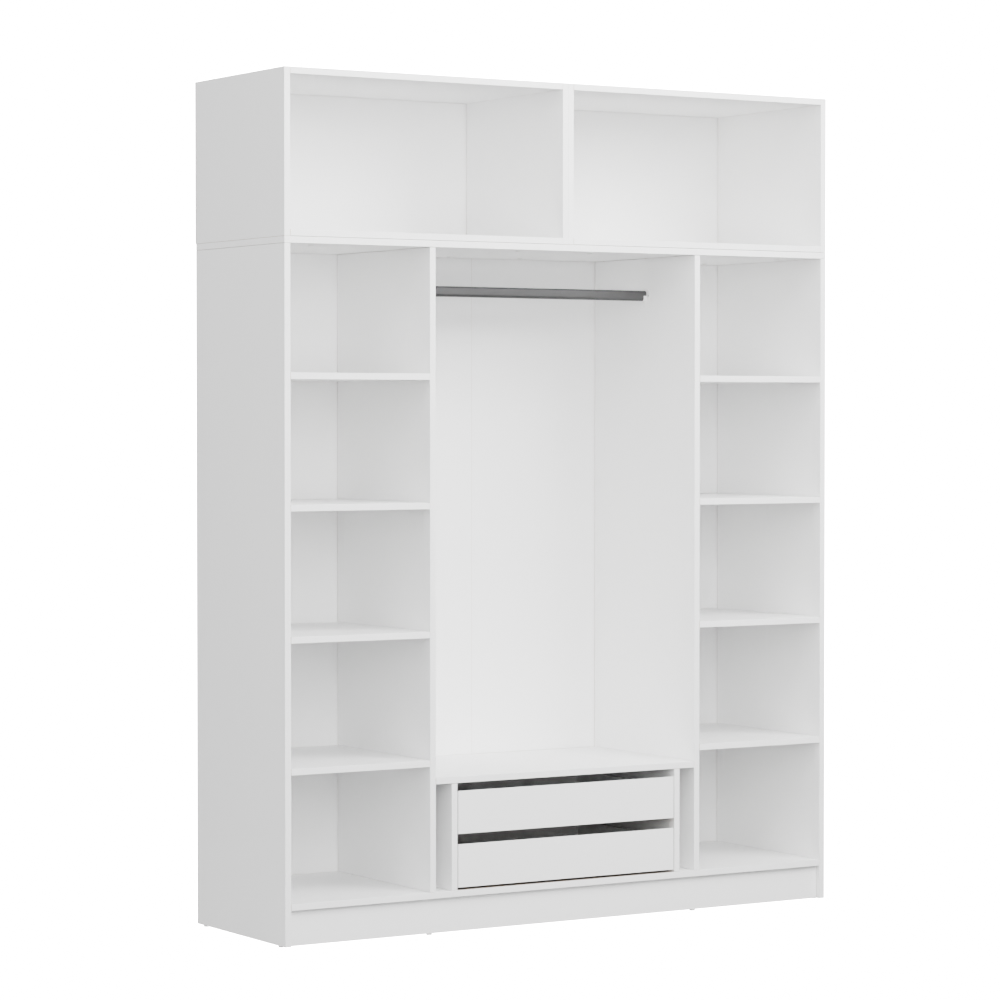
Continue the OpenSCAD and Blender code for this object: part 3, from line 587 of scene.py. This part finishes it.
# %% Joints, bands and softened edges
JOINT_GAP = 0.5 * MM
REAR_GAP = 1.5 * MM
EDGE_ROUND = 0.5 * MM
ROUND_STEPS = 2
SLOPE_STRIP = 20 * MM
FLAT_ANGLE = math.radians(0.2)
CORNER_ANGLE = math.radians(80)


def cut_band_lines(work, low, high, banded):
    for axis, sign in banded:
        point = pointing(axis, side_at(low, high, (axis, sign)) - sign * BAND_T)
        everything = work.verts[:] + work.edges[:] + work.faces[:]
        bmesh.ops.bisect_plane(
            work, geom=everything, dist=MERGE, plane_co=point, plane_no=pointing(axis, 1)
        )


def draw_back(work, low, high, side, gap):
    """Move one outer side of the board inwards by the gap, and the corner of its box with it"""
    axis, sign = side
    corner = high if sign > 0 else low
    for vert in work.verts:
        if abs(vert.co[axis] - corner[axis]) < ON_PLANE:
            vert.co[axis] -= sign * gap
    corner[axis] -= sign * gap


def open_joints(work, low, high, banded, seams):
    """Draw the sawn ends and the seams back, so that each joint shows as a fine dark line"""
    thin = thin_axis(low, high)
    for side in SIDES:
        gap = seams.get(side, 0.0)
        if side[0] != thin and side not in banded:
            gap += REAR_GAP if side == BEHIND else JOINT_GAP
        draw_back(work, low, high, side, gap)


def join_flat_bands(work):
    """Dissolve the leftover diagonals inside each flat strip of band, for clean bevels"""
    def inside(edge):
        return len(edge.link_faces) == 2 and all(f.material_index == BAND for f in edge.link_faces)

    flat = [e for e in work.edges if inside(e) and e.calc_face_angle(0) < FLAT_ANGLE]
    bmesh.ops.dissolve_edges(work, edges=flat, use_verts=False)


def soften(work, low, high):
    """Round the long edges between a band and the face beside it"""
    def rounded(edge):
        if len(edge.link_faces) != 2 or edge.calc_face_angle(0) < CORNER_ANGLE:
            return False
        kinds = [f.material_index for f in edge.link_faces]
        return RAW not in kinds and all(outer_side(f, low, high) for f in edge.link_faces)

    wear = work.faces.layers.float.new("edge_wear")
    edges = [e for e in work.edges if rounded(e)]
    made = bmesh.ops.bevel(
        work, geom=edges, offset=EDGE_ROUND, offset_type="OFFSET", segments=ROUND_STEPS,
        profile=0.5, affect="EDGES", clamp_overlap=True, material=BAND,
    )
    for face in made["faces"]:
        face[wear] = 1.0


def tilt_top(work, low, high, slope):
    """Let the top edge fall away towards the back, moving only a strip of the board below it"""
    for vert in work.verts:
        near_top = min(max(1 - (high.z - vert.co.z) / SLOPE_STRIP, 0), 1)
        vert.co.z -= slope * (vert.co.y - low.y) * near_top


print("edges are rounded by", EDGE_ROUND / MM, "mm, joints opened by", JOINT_GAP / MM, "mm")

# %% [markdown]
# ## Finishing a piece
#
# Every piece ends the same way. Its mesh becomes an object at the origin with its finishes,
# it rides on one body of the model, and it may stand in for a CAD node, which is then
# hidden. A board goes through all the steps above before that.

# %% Finishing a piece
def enlist(piece, body, replaced=()):
    """Say which body a piece rides on, and hide what it stands in for"""
    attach(piece, body)
    if replaced:
        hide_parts(*replaced)
    return piece


def finished_piece(work, name, body, finishes, replaced):
    """Turn the worked mesh into a piece that rides on a body in place of some CAD nodes"""
    mesh = bpy.data.meshes.new(name)
    work.to_mesh(mesh)
    work.free()
    for finish in finishes:
        mesh.materials.append(finish)
    return enlist(link(bpy.data.objects.new(name, mesh)), body, replaced)


def dress_board(node, banded, seams, slope):
    low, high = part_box(node)
    work = merged_copy(nodes[node].data)
    open_joints(work, low, high, banded, seams)
    cut_band_lines(work, low, high, banded)
    paint_board(work, low, high, banded)
    join_flat_bands(work)
    soften(work, low, high)
    if slope:
        tilt_top(work, low, high, slope)
    body = nodes[node]["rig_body"]
    finished_piece(work, node + "_board", body, BOARD_FINISHES, [node])


print("board dressing ready")

# %% [markdown]
# ## The boards
#
# Which edges get a band follows from what shows when the unit stands in a room: the front
# edge of every board, the ends of the top panel, the top edges of the open boxes' sides,
# three edges of a drawer front, and the top edges of a drawer's sides and back. A drawer
# front's lower edge stays bare: nobody sees it, and its brown raw chipboard is painted
# shade, a dark face put there to darken the gap below it.
#
# There is a seam, too, where boards only lie against each other: below the boxes, between
# them, and where the dividers meet the top panel. The drawer fronts are trimmed by a hair
# so that their finger gaps come out as wide as in the photograph. The top edge of a front
# falls away towards the back, so that a finger finds its rear corner: seen from the front
# the edge itself is hidden, and the dark gap starts right at the front's outer corner.

# %% The boards
BANDS = {
    "top_panel": [FRONT, LEFT, RIGHT],
    "box_outer_side": [FRONT, ABOVE],
    "box_inner_side": [FRONT, ABOVE],
    # the lower edge stays raw brown chipboard: painted shade that darkens the gap below the front
    "drawer_front": [LEFT, RIGHT, ABOVE],
    "drawer_left_side": [ABOVE],
    "drawer_right_side": [ABOVE],
    "drawer_back": [ABOVE],
    "plinth": [],
}


def bands_of(node):
    return next((bands for ending, bands in BANDS.items() if node.endswith(ending)), [FRONT])


BOX_SEAM = 0.8 * MM
MIDDLE_SEAM = 0.1 * MM
CEILING_SEAM = 0.4 * MM
FRONT_TRIM = 0.6 * MM
SEAMS = {
    "left_box_bottom": {BELOW: BOX_SEAM},
    "right_box_bottom": {BELOW: BOX_SEAM},
    "left_box_inner_side": {RIGHT: MIDDLE_SEAM},
    "right_box_inner_side": {LEFT: MIDDLE_SEAM},
    "left_divider": {ABOVE: CEILING_SEAM},
    "right_divider": {ABOVE: CEILING_SEAM},
    "lower_drawer_front": {BELOW: FRONT_TRIM},
    "upper_drawer_front": {BELOW: FRONT_TRIM, ABOVE: FRONT_TRIM},
}
FINGER_SLOPE = 0.14

board_nodes = [s["node"] for s in frame["record"]["subparts"] if s["material_slot"] == "board"]
for node in board_nodes:
    slope = FINGER_SLOPE if node.endswith("drawer_front") else 0.0
    dress_board(node, bands_of(node), SEAMS.get(node, {}), slope)
print(len(board_nodes), "boards dressed")

# %% [markdown]
# ## Geometry Nodes helpers
#
# Nails and screws repeat, so they are grown by Geometry Nodes: a tree takes a mesh that
# holds only their places and sets one on every point. Both trees need the same few parts,
# namely named inputs, a head, a shank, and an end that makes the result real mesh, because
# the export drops instances. A tree's inputs are set by their identifiers before the
# object is first evaluated, and its modifier is gone before the piece rides on a body.

# %% Geometry Nodes helpers
def new_tree(name, inputs):
    """A Geometry Nodes tree with named inputs, and their identifiers"""
    tree = bpy.data.node_groups.new(name, "GeometryNodeTree")
    tree.interface.new_socket("Geometry", in_out="INPUT", socket_type="NodeSocketGeometry")
    tree.interface.new_socket("Geometry", in_out="OUTPUT", socket_type="NodeSocketGeometry")
    keys = {}
    for label, kind in inputs.items():
        keys[label] = tree.interface.new_socket(label, in_out="INPUT", socket_type=kind).identifier
    return tree, add_node(tree, "NodeGroupInput").outputs, keys


def wire(tree, *pairs):
    for source, target in pairs:
        tree.links.new(source, target)


def end_tree(tree, geometry, material):
    real = add_node(tree, "GeometryNodeRealizeInstances")
    paint = add_node(tree, "GeometryNodeSetMaterial")
    end = add_node(tree, "NodeGroupOutput")
    wire(tree, (geometry, real.inputs["Geometry"]), (real.outputs[0], paint.inputs["Geometry"]),
         (material, paint.inputs["Material"]), (paint.outputs[0], end.inputs[0]))


def add_head(tree, start, sides, crown):
    """A round head whose top is narrower than its foot by the crown's share"""
    head = add_node(tree, "GeometryNodeMeshCone")
    head.inputs["Vertices"].default_value = sides
    top = arithmetic(tree, "MULTIPLY", start["Head Radius"], crown)
    wire(tree, (start["Head Radius"], head.inputs["Radius Bottom"]),
         (top, head.inputs["Radius Top"]), (start["Head Height"], head.inputs["Depth"]))
    return head.outputs["Mesh"]


def add_shank(tree, start, sides, radius):
    """A round shank that hangs down from the head's foot"""
    shank = add_node(tree, "GeometryNodeMeshCylinder")
    shank.inputs["Vertices"].default_value = sides
    shank.inputs["Radius"].default_value = radius
    sunk = add_node(tree, "GeometryNodeTransform")
    drop = add_node(tree, "ShaderNodeCombineXYZ")
    half_down = arithmetic(tree, "MULTIPLY", start["Shank Length"], -0.5)
    wire(tree, (start["Shank Length"], shank.inputs["Depth"]), (half_down, drop.inputs["Z"]),
         (drop.outputs[0], sunk.inputs["Translation"]),
         (shank.outputs["Mesh"], sunk.inputs["Geometry"]))
    return sunk.outputs[0]


def evaluated_mesh(thing):
    """What an object's modifiers make of it, as plain mesh"""
    ready = thing.evaluated_get(bpy.context.evaluated_depsgraph_get())
    return bpy.data.meshes.new_from_object(ready)


def grown(name, mesh, tree, keys, settings):
    """Run a tree on a mesh and keep the result as plain mesh"""
    seed = link(bpy.data.objects.new(name, mesh))
    modifier = seed.modifiers.new("tree", "NODES")
    modifier.node_group = tree
    for label, value in settings.items():
        modifier[keys[label]] = value
    result = evaluated_mesh(seed)
    seed.modifiers.remove(modifier)
    seed.data = result
    return seed


print("tree helpers ready")

# %% [markdown]
# ## The nailing tree
#
# The back panels are nailed into the rear edges of the boards, a nail about every 150 mm.
# The tree takes the lines of nails as plain edges, resamples each one by the spacing, and
# sets a nail on every point. The same tree gives the pockets: the small dents that the
# heads sit in, a little wider than a head. Placing more than a hundred nails in a loop
# would work too, but here the spacing stays one number.

# %% The nailing tree
NAIL_SPACING = 150 * MM
NAIL_HEAD_R = 1.9 * MM
NAIL_HEAD_T = 0.3 * MM
NAIL_CROWN = 0.7
NAIL_SINK = 0.35 * MM
NAIL_SHANK_R = 0.7 * MM
NAIL_SHANK_L = 15 * MM
POCKET_R = 2.3 * MM
NAIL_SIDES = 12


def nailing_tree():
    tree, start, keys = new_tree("nailing", {
        "Spacing": "NodeSocketFloat",
        "Head Radius": "NodeSocketFloat",
        "Head Height": "NodeSocketFloat",
        "Crown": "NodeSocketFloat",
        "Shank Length": "NodeSocketFloat",
        "With Shank": "NodeSocketBool",
        "Material": "NodeSocketMaterial",
    })
    line = add_node(tree, "GeometryNodeMeshToCurve")
    spaced = add_node(tree, "GeometryNodeResampleCurve", mode="LENGTH")
    head = add_head(tree, start, NAIL_SIDES, start["Crown"])
    shank = add_shank(tree, start, NAIL_SIDES // 2, NAIL_SHANK_R)
    nail = add_node(tree, "GeometryNodeJoinGeometry")
    choice = add_node(tree, "GeometryNodeSwitch", input_type="GEOMETRY")
    placed = add_node(tree, "GeometryNodeInstanceOnPoints")
    placed.inputs["Rotation"].default_value = (-math.pi / 2, 0, 0)
    wire(tree,
         (start["Geometry"], line.inputs["Mesh"]), (line.outputs[0], spaced.inputs["Curve"]),
         (start["Spacing"], spaced.inputs["Length"]),
         (head, nail.inputs[0]), (shank, nail.inputs[0]),
         (start["With Shank"], choice.inputs["Switch"]),
         (head, choice.inputs["False"]), (nail.outputs[0], choice.inputs["True"]),
         (spaced.outputs[0], placed.inputs["Points"]),
         (choice.outputs[0], placed.inputs["Instance"]))
    end_tree(tree, placed.outputs[0], start["Material"])
    return tree, keys


NAILING, NAILING_KEYS = nailing_tree()
print("nailing tree with", len(NAILING.nodes), "nodes")

# %% [markdown]
# ## The back panels
#
# Each panel is 3 mm hardboard. The nail lines run along the middle of every board edge
# that the panel covers, and stop short of its ends. The dents are cut with a Boolean, so
# that the heads can lie just under the surface and nothing stands proud of the back.

# %% The back panels
LINE_INSET = 45 * MM
NEAR_MIDDLE = 1 * MM             # the panels' edges that meet in the middle are bare
LACQUER_FACE, BARE_FACE, PANEL_EDGE = range(3)
PANEL_FINISHES = [LACQUER, HARDBOARD, LACQUER]
BACKS = {
    "back_panel": ["side_panel", "divider", "top_panel", "bottom_panel", "shelf_2"],
    "box_back": ["box_outer_side", "box_inner_side", "box_top", "box_bottom"],
}


def nail_line(panel, carrier):
    """Ends of the line of nails through a panel into the rear edge of one board"""
    (low, high), (board_low, board_high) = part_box(panel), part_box(carrier)
    run = 0 if board_high[0] - board_low[0] > board_high[2] - board_low[2] else 2
    across = 2 - run
    ends = []
    for limit, sign in ((max(low[run], board_low[run]), 1), (min(high[run], board_high[run]), -1)):
        point = Vector((0, high[1], 0))
        point[run] = limit + sign * LINE_INSET
        point[across] = (board_low[across] + board_high[across]) / 2
        ends.append(point)
    return ends


def line_mesh(name, lines, depth):
    mesh = bpy.data.meshes.new(name)
    points = [end - Vector((0, depth, 0)) for line in lines for end in line]
    mesh.from_pydata(points, [(i, i + 1) for i in range(0, len(points), 2)], [])
    return mesh


def nail_back(panel, carriers):
    lines = [nail_line(panel, carrier) for carrier in carriers]
    common = {"Spacing": NAIL_SPACING, "Shank Length": NAIL_SHANK_L, "Material": ZINC}
    nails = grown(panel + "_nails", line_mesh("nails", lines, NAIL_SINK), NAILING, NAILING_KEYS, {
        **common, "With Shank": True,
        "Head Radius": NAIL_HEAD_R, "Head Height": NAIL_HEAD_T, "Crown": NAIL_CROWN,
    })
    pockets = grown("pockets", line_mesh("pockets", lines, NAIL_SINK), NAILING, NAILING_KEYS, {
        **common, "With Shank": False,
        "Head Radius": POCKET_R, "Head Height": 2 * NAIL_SINK, "Crown": 1.0,
    })
    return nails, pockets


def paint_back(work, low, high):
    for face in work.faces:
        side = outer_side(face, low, high)
        if side == FRONT:
            face.material_index = LACQUER_FACE
        elif side and side != BEHIND and abs(face.calc_center_median().x) > NEAR_MIDDLE:
            face.material_index = PANEL_EDGE
        else:
            face.material_index = BARE_FACE


def dented(work, pockets):
    """The mesh with the pockets cut out of it"""
    plain = bpy.data.meshes.new("plain_back")
    work.to_mesh(plain)
    work.free()
    blank = link(bpy.data.objects.new("plain_back", plain))
    cut = blank.modifiers.new("dents", "BOOLEAN")
    cut.operation, cut.solver, cut.object = "DIFFERENCE", "EXACT", pockets
    result = evaluated_mesh(blank)
    for thing in (blank, pockets):
        bpy.data.objects.remove(thing)
    return result


def with_hand(hand, name):
    """The node's full name: a board that spans the unit has no left or right one"""
    return name if name in nodes else hand + "_" + name


nail_faces = 0
for ending, carriers in BACKS.items():
    for hand in ("left", "right"):
        panel = with_hand(hand, ending)
        nails, pockets = nail_back(panel, [with_hand(hand, carrier) for carrier in carriers])
        nail_faces += len(nails.data.polygons)
        enlist(nails, "cabinet")
        work = merged_copy(dented(merged_copy(nodes[panel].data), pockets))
        paint_back(work, *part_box(panel))
        finished_piece(work, panel + "_sheet", "cabinet", PANEL_FINISHES, [panel])
print("four back panels nailed,", nail_faces, "nail faces")

# %% [markdown]
# ## Drawer bottoms
#
# A drawer bottom is the same thin hardboard, slid into grooves, with the lacquered side
# up. Its primed underside is what one sees through the gap over the drawer below.

# %% Drawer bottoms
def paint_bottom(work, low, high):
    for face in work.faces:
        upper = outer_side(face, low, high) == ABOVE
        face.material_index = LACQUER_FACE if upper else BARE_FACE


for which in ("lower", "upper"):
    node = which + "_drawer_bottom"
    work = merged_copy(nodes[node].data)
    paint_bottom(work, *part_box(node))
    body = which + "_drawer"
    finished_piece(work, node + "_sheet", body, [LACQUER, PRIMER], [node])
print("drawer bottoms dressed")

# %% [markdown]
# ## Fittings
#
# Turned, drawn and moulded pieces keep the shape that the CAD model gives them. On a copy
# with merged triangles the round walls are shaded smooth up to a sharp corner, and where
# the real piece comes out of a mould or a press, a small Bevel modifier breaks its corners
# by a few tenths of a millimetre. The bevel's own faces aren't marked as worn, because
# these corners sit where no sleeve or hanger rubs them.

# %% Fittings
SMOOTH_UP_TO = math.radians(35)


def smooth_piece(work, node, label, finish, rounding=0.0):
    piece = finished_piece(work, node + label, nodes[node]["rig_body"], [finish], [node])
    piece.data.shade_smooth()
    piece.data.set_sharp_from_angle(angle=SMOOTH_UP_TO)
    if rounding:
        bevel = piece.modifiers.new("broken_corners", "BEVEL")
        bevel.width = rounding
        bevel.segments = ROUND_STEPS
        bevel.limit_method = "ANGLE"
        bevel.angle_limit = SMOOTH_UP_TO
        bevel.use_clamp_overlap = True
        bevel.harden_normals = True
    return piece


FITTINGS = [
    ("hanging_rail", "_tube", RAIL, "rail", 0.2 * MM),
    ("rail_sockets", "_pair", PLASTIC, "plastic", 0.3 * MM),
    ("floor_glides", "_set", PLASTIC, "plastic", 0.6 * MM),
    ("cabinet_runners", "_set", COATED_STEEL, "runner_steel", 0),
    ("lower_drawer_runners", "_pair", COATED_STEEL, "runner_steel", 0),
    ("upper_drawer_runners", "_pair", COATED_STEEL, "runner_steel", 0),
    ("cam_locks", "_set", ZINC, "zinc", 0),
    ("cam_bolts", "_set", ZINC, "zinc", 0),
    ("confirmat_screws", "_set", ZINC, "zinc", 0),
    ("dowels", "_set", BEECH, "beech", 0),
    ("lower_front_rollers", "_pair", NYLON, "nylon", 0.8 * MM),
    ("lower_rear_rollers", "_pair", NYLON, "nylon", 0.8 * MM),
    ("upper_front_rollers", "_pair", NYLON, "nylon", 0.8 * MM),
    ("upper_rear_rollers", "_pair", NYLON, "nylon", 0.8 * MM),
]
for node, label, finish, slot, rounding in FITTINGS:
    smooth_piece(merged_copy(nodes[node].data), node, label, finish, rounding)
print(len(FITTINGS), "kinds of fitting dressed")

# %% [markdown]
# ## Box connectors
#
# Sleeve nuts and bolts tie the top boxes to the top panel. Their flat heads are enamelled
# white so that they don't stand out on a ceiling or a floor, and only the sleeves inside
# the boards are bare zinc. The heads are found by their height in the mesh.

# %% Box connectors
CONNECTOR_HEAD_T = 1.5 * MM
CONNECTOR_ROUND = 0.3 * MM
ENAMELLED = 1
node = "box_connectors"
low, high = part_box(node)
work = merged_copy(nodes[node].data)
connectors = smooth_piece(work, node, "_set", ZINC, CONNECTOR_ROUND)
connectors.data.materials.append(COATED_STEEL)
head_depth = CONNECTOR_HEAD_T + ON_PLANE
for face in connectors.data.polygons:
    if not low.z + head_depth <= face.center.z <= high.z - head_depth:
        face.material_index = ENAMELLED
print("box connectors with white heads")

# %% [markdown]
# ## Screw heads
#
# The runners and the rail sockets are held by small pan-head screws with a cross recess.
# The CAD model has them as plain studs. Each stud's place and direction are read from its
# own island of mesh, and one point is kept for each.

# %% Screw places
HEAD_R = 3.0 * MM
HEAD_T = 0.8 * MM
HEAD_SLACK = 0.1 * MM
RIM_SHARE = 0.9
STUD_MOST = 25 * MM


def islands(work):
    """The separate solids in a mesh, each as its list of vertices"""
    found, seen = [], set()
    for first in work.verts:
        if first in seen:
            continue
        seen.add(first)
        island = [first]
        for vert in island:
            for edge in vert.link_edges:
                other = edge.other_vert(vert)
                if other not in seen:
                    seen.add(other)
                    island.append(other)
        found.append(island)
    return found


def stud_place(island):
    """(seat, direction, length) of a small screw, or None if the island is something else"""
    low = Vector([min(v.co[i] for v in island) for i in range(3)])
    high = Vector([max(v.co[i] for v in island) for i in range(3)])
    size, middle = high - low, (low + high) / 2
    along = max(range(3), key=lambda i: size[i])
    across = [size[i] for i in range(3) if i != along]
    if size[along] > STUD_MOST or any(abs(s - 2 * HEAD_R) > HEAD_SLACK for s in across):
        return None
    rim = []
    for vert in island:
        offset = vert.co - middle
        offset[along] = 0
        if offset.length > RIM_SHARE * HEAD_R:
            rim.append(vert.co[along])
    outwards = 1 if sum(rim) / len(rim) > middle[along] else -1
    seat = middle.copy()
    seat[along] = min(rim) if outwards > 0 else max(rim)
    return seat, pointing(along, outwards), size[along] - HEAD_T


work = merged_copy(nodes["small_screws"].data)
places = [stud_place(i) for i in islands(work)]
work.free()
print(len(places), "small screws in the cabinet, first", [round(c, 4) for c in places[0][0]])

# %% [markdown]
# ## The screwing tree
#
# A second tree sets a finished screw on every point, turned to face the way its stud did:
# a crowned head with a cross cut out of it by two bars, and a shank.

# %% The screwing tree
SCREW_SIDES = 20
SCREW_CROWN = 0.72
RECESS_L = 3.4 * MM
RECESS_W = 0.8 * MM
RECESS_DEEP = 0.5 * MM
SHANK_R = 1.5 * MM


def screwing_tree():
    tree, start, keys = new_tree("screwing", {
        "Head Radius": "NodeSocketFloat",
        "Head Height": "NodeSocketFloat",
        "Shank Length": "NodeSocketFloat",
        "Material": "NodeSocketMaterial",
    })
    recessed = add_node(tree, "GeometryNodeMeshBoolean", operation="DIFFERENCE", solver="EXACT")
    wire(tree, (add_head(tree, start, SCREW_SIDES, SCREW_CROWN), recessed.inputs["Mesh 1"]))
    for length, width in ((RECESS_L, RECESS_W), (RECESS_W, RECESS_L)):
        bar = add_node(tree, "GeometryNodeMeshCube")
        bar.inputs["Size"].default_value = (length, width, 2 * RECESS_DEEP)
        raised = add_node(tree, "GeometryNodeTransform")
        lift = add_node(tree, "ShaderNodeCombineXYZ")
        wire(tree, (bar.outputs["Mesh"], raised.inputs["Geometry"]),
             (start["Head Height"], lift.inputs["Z"]),
             (lift.outputs[0], raised.inputs["Translation"]),
             (raised.outputs[0], recessed.inputs["Mesh 2"]))
    shank = add_shank(tree, start, SCREW_SIDES // 2, SHANK_R)
    screw = add_node(tree, "GeometryNodeJoinGeometry")
    facing = add_node(tree, "GeometryNodeInputNamedAttribute", data_type="FLOAT_VECTOR")
    facing.inputs["Name"].default_value = "facing"
    turned = add_node(tree, "FunctionNodeAlignRotationToVector", axis="Z")
    points = add_node(tree, "GeometryNodeMeshToPoints")
    placed = add_node(tree, "GeometryNodeInstanceOnPoints")
    wire(tree,
         (recessed.outputs[0], screw.inputs[0]), (shank, screw.inputs[0]),
         (start["Geometry"], points.inputs["Mesh"]), (points.outputs[0], placed.inputs["Points"]),
         (facing.outputs["Attribute"], turned.inputs["Vector"]),
         (turned.outputs[0], placed.inputs["Rotation"]),
         (screw.outputs[0], placed.inputs["Instance"]))
    end_tree(tree, placed.outputs[0], start["Material"])
    return tree, keys


SCREWING, SCREWING_KEYS = screwing_tree()


def drive_screws(name, places, body, replaced=()):
    mesh = bpy.data.meshes.new(name)
    mesh.from_pydata([seat for seat, _, _ in places], [], [])
    facing = mesh.attributes.new("facing", "FLOAT_VECTOR", "POINT")
    facing.data.foreach_set("vector", [c for _, direction, _ in places for c in direction])
    shank_length = places[0][2]
    screws = grown(name, mesh, SCREWING, SCREWING_KEYS, {
        "Head Radius": HEAD_R, "Head Height": HEAD_T, "Shank Length": shank_length,
        "Material": ZINC,
    })
    return enlist(screws, body, replaced)


screws = drive_screws("small_screws_set", places, "cabinet", ["small_screws"])
print("cabinet screws have", len(screws.data.polygons), "faces")

# %% [markdown]
# ## Drawer fasteners
#
# A drawer's cam locks, bolts and screws are one node in the CAD model. Its small screws
# are taken out of the copy and driven again with their crossed heads. The rest only needs
# smooth walls and the zinc finish.

# %% Drawer fasteners
for which in ("lower", "upper"):
    node = which + "_drawer_fasteners"
    work = merged_copy(nodes[node].data)
    studs = [(island, stud_place(island)) for island in islands(work)]
    places = [place for _, place in studs if place]
    plain = [v for island, place in studs if place for v in island]
    bmesh.ops.delete(work, geom=plain, context="VERTS")
    smooth_piece(work, node, "_set", ZINC)
    drive_screws(which + "_drawer_screws", places, which + "_drawer")
    print(which, "drawer:", len(places), "small screws driven")
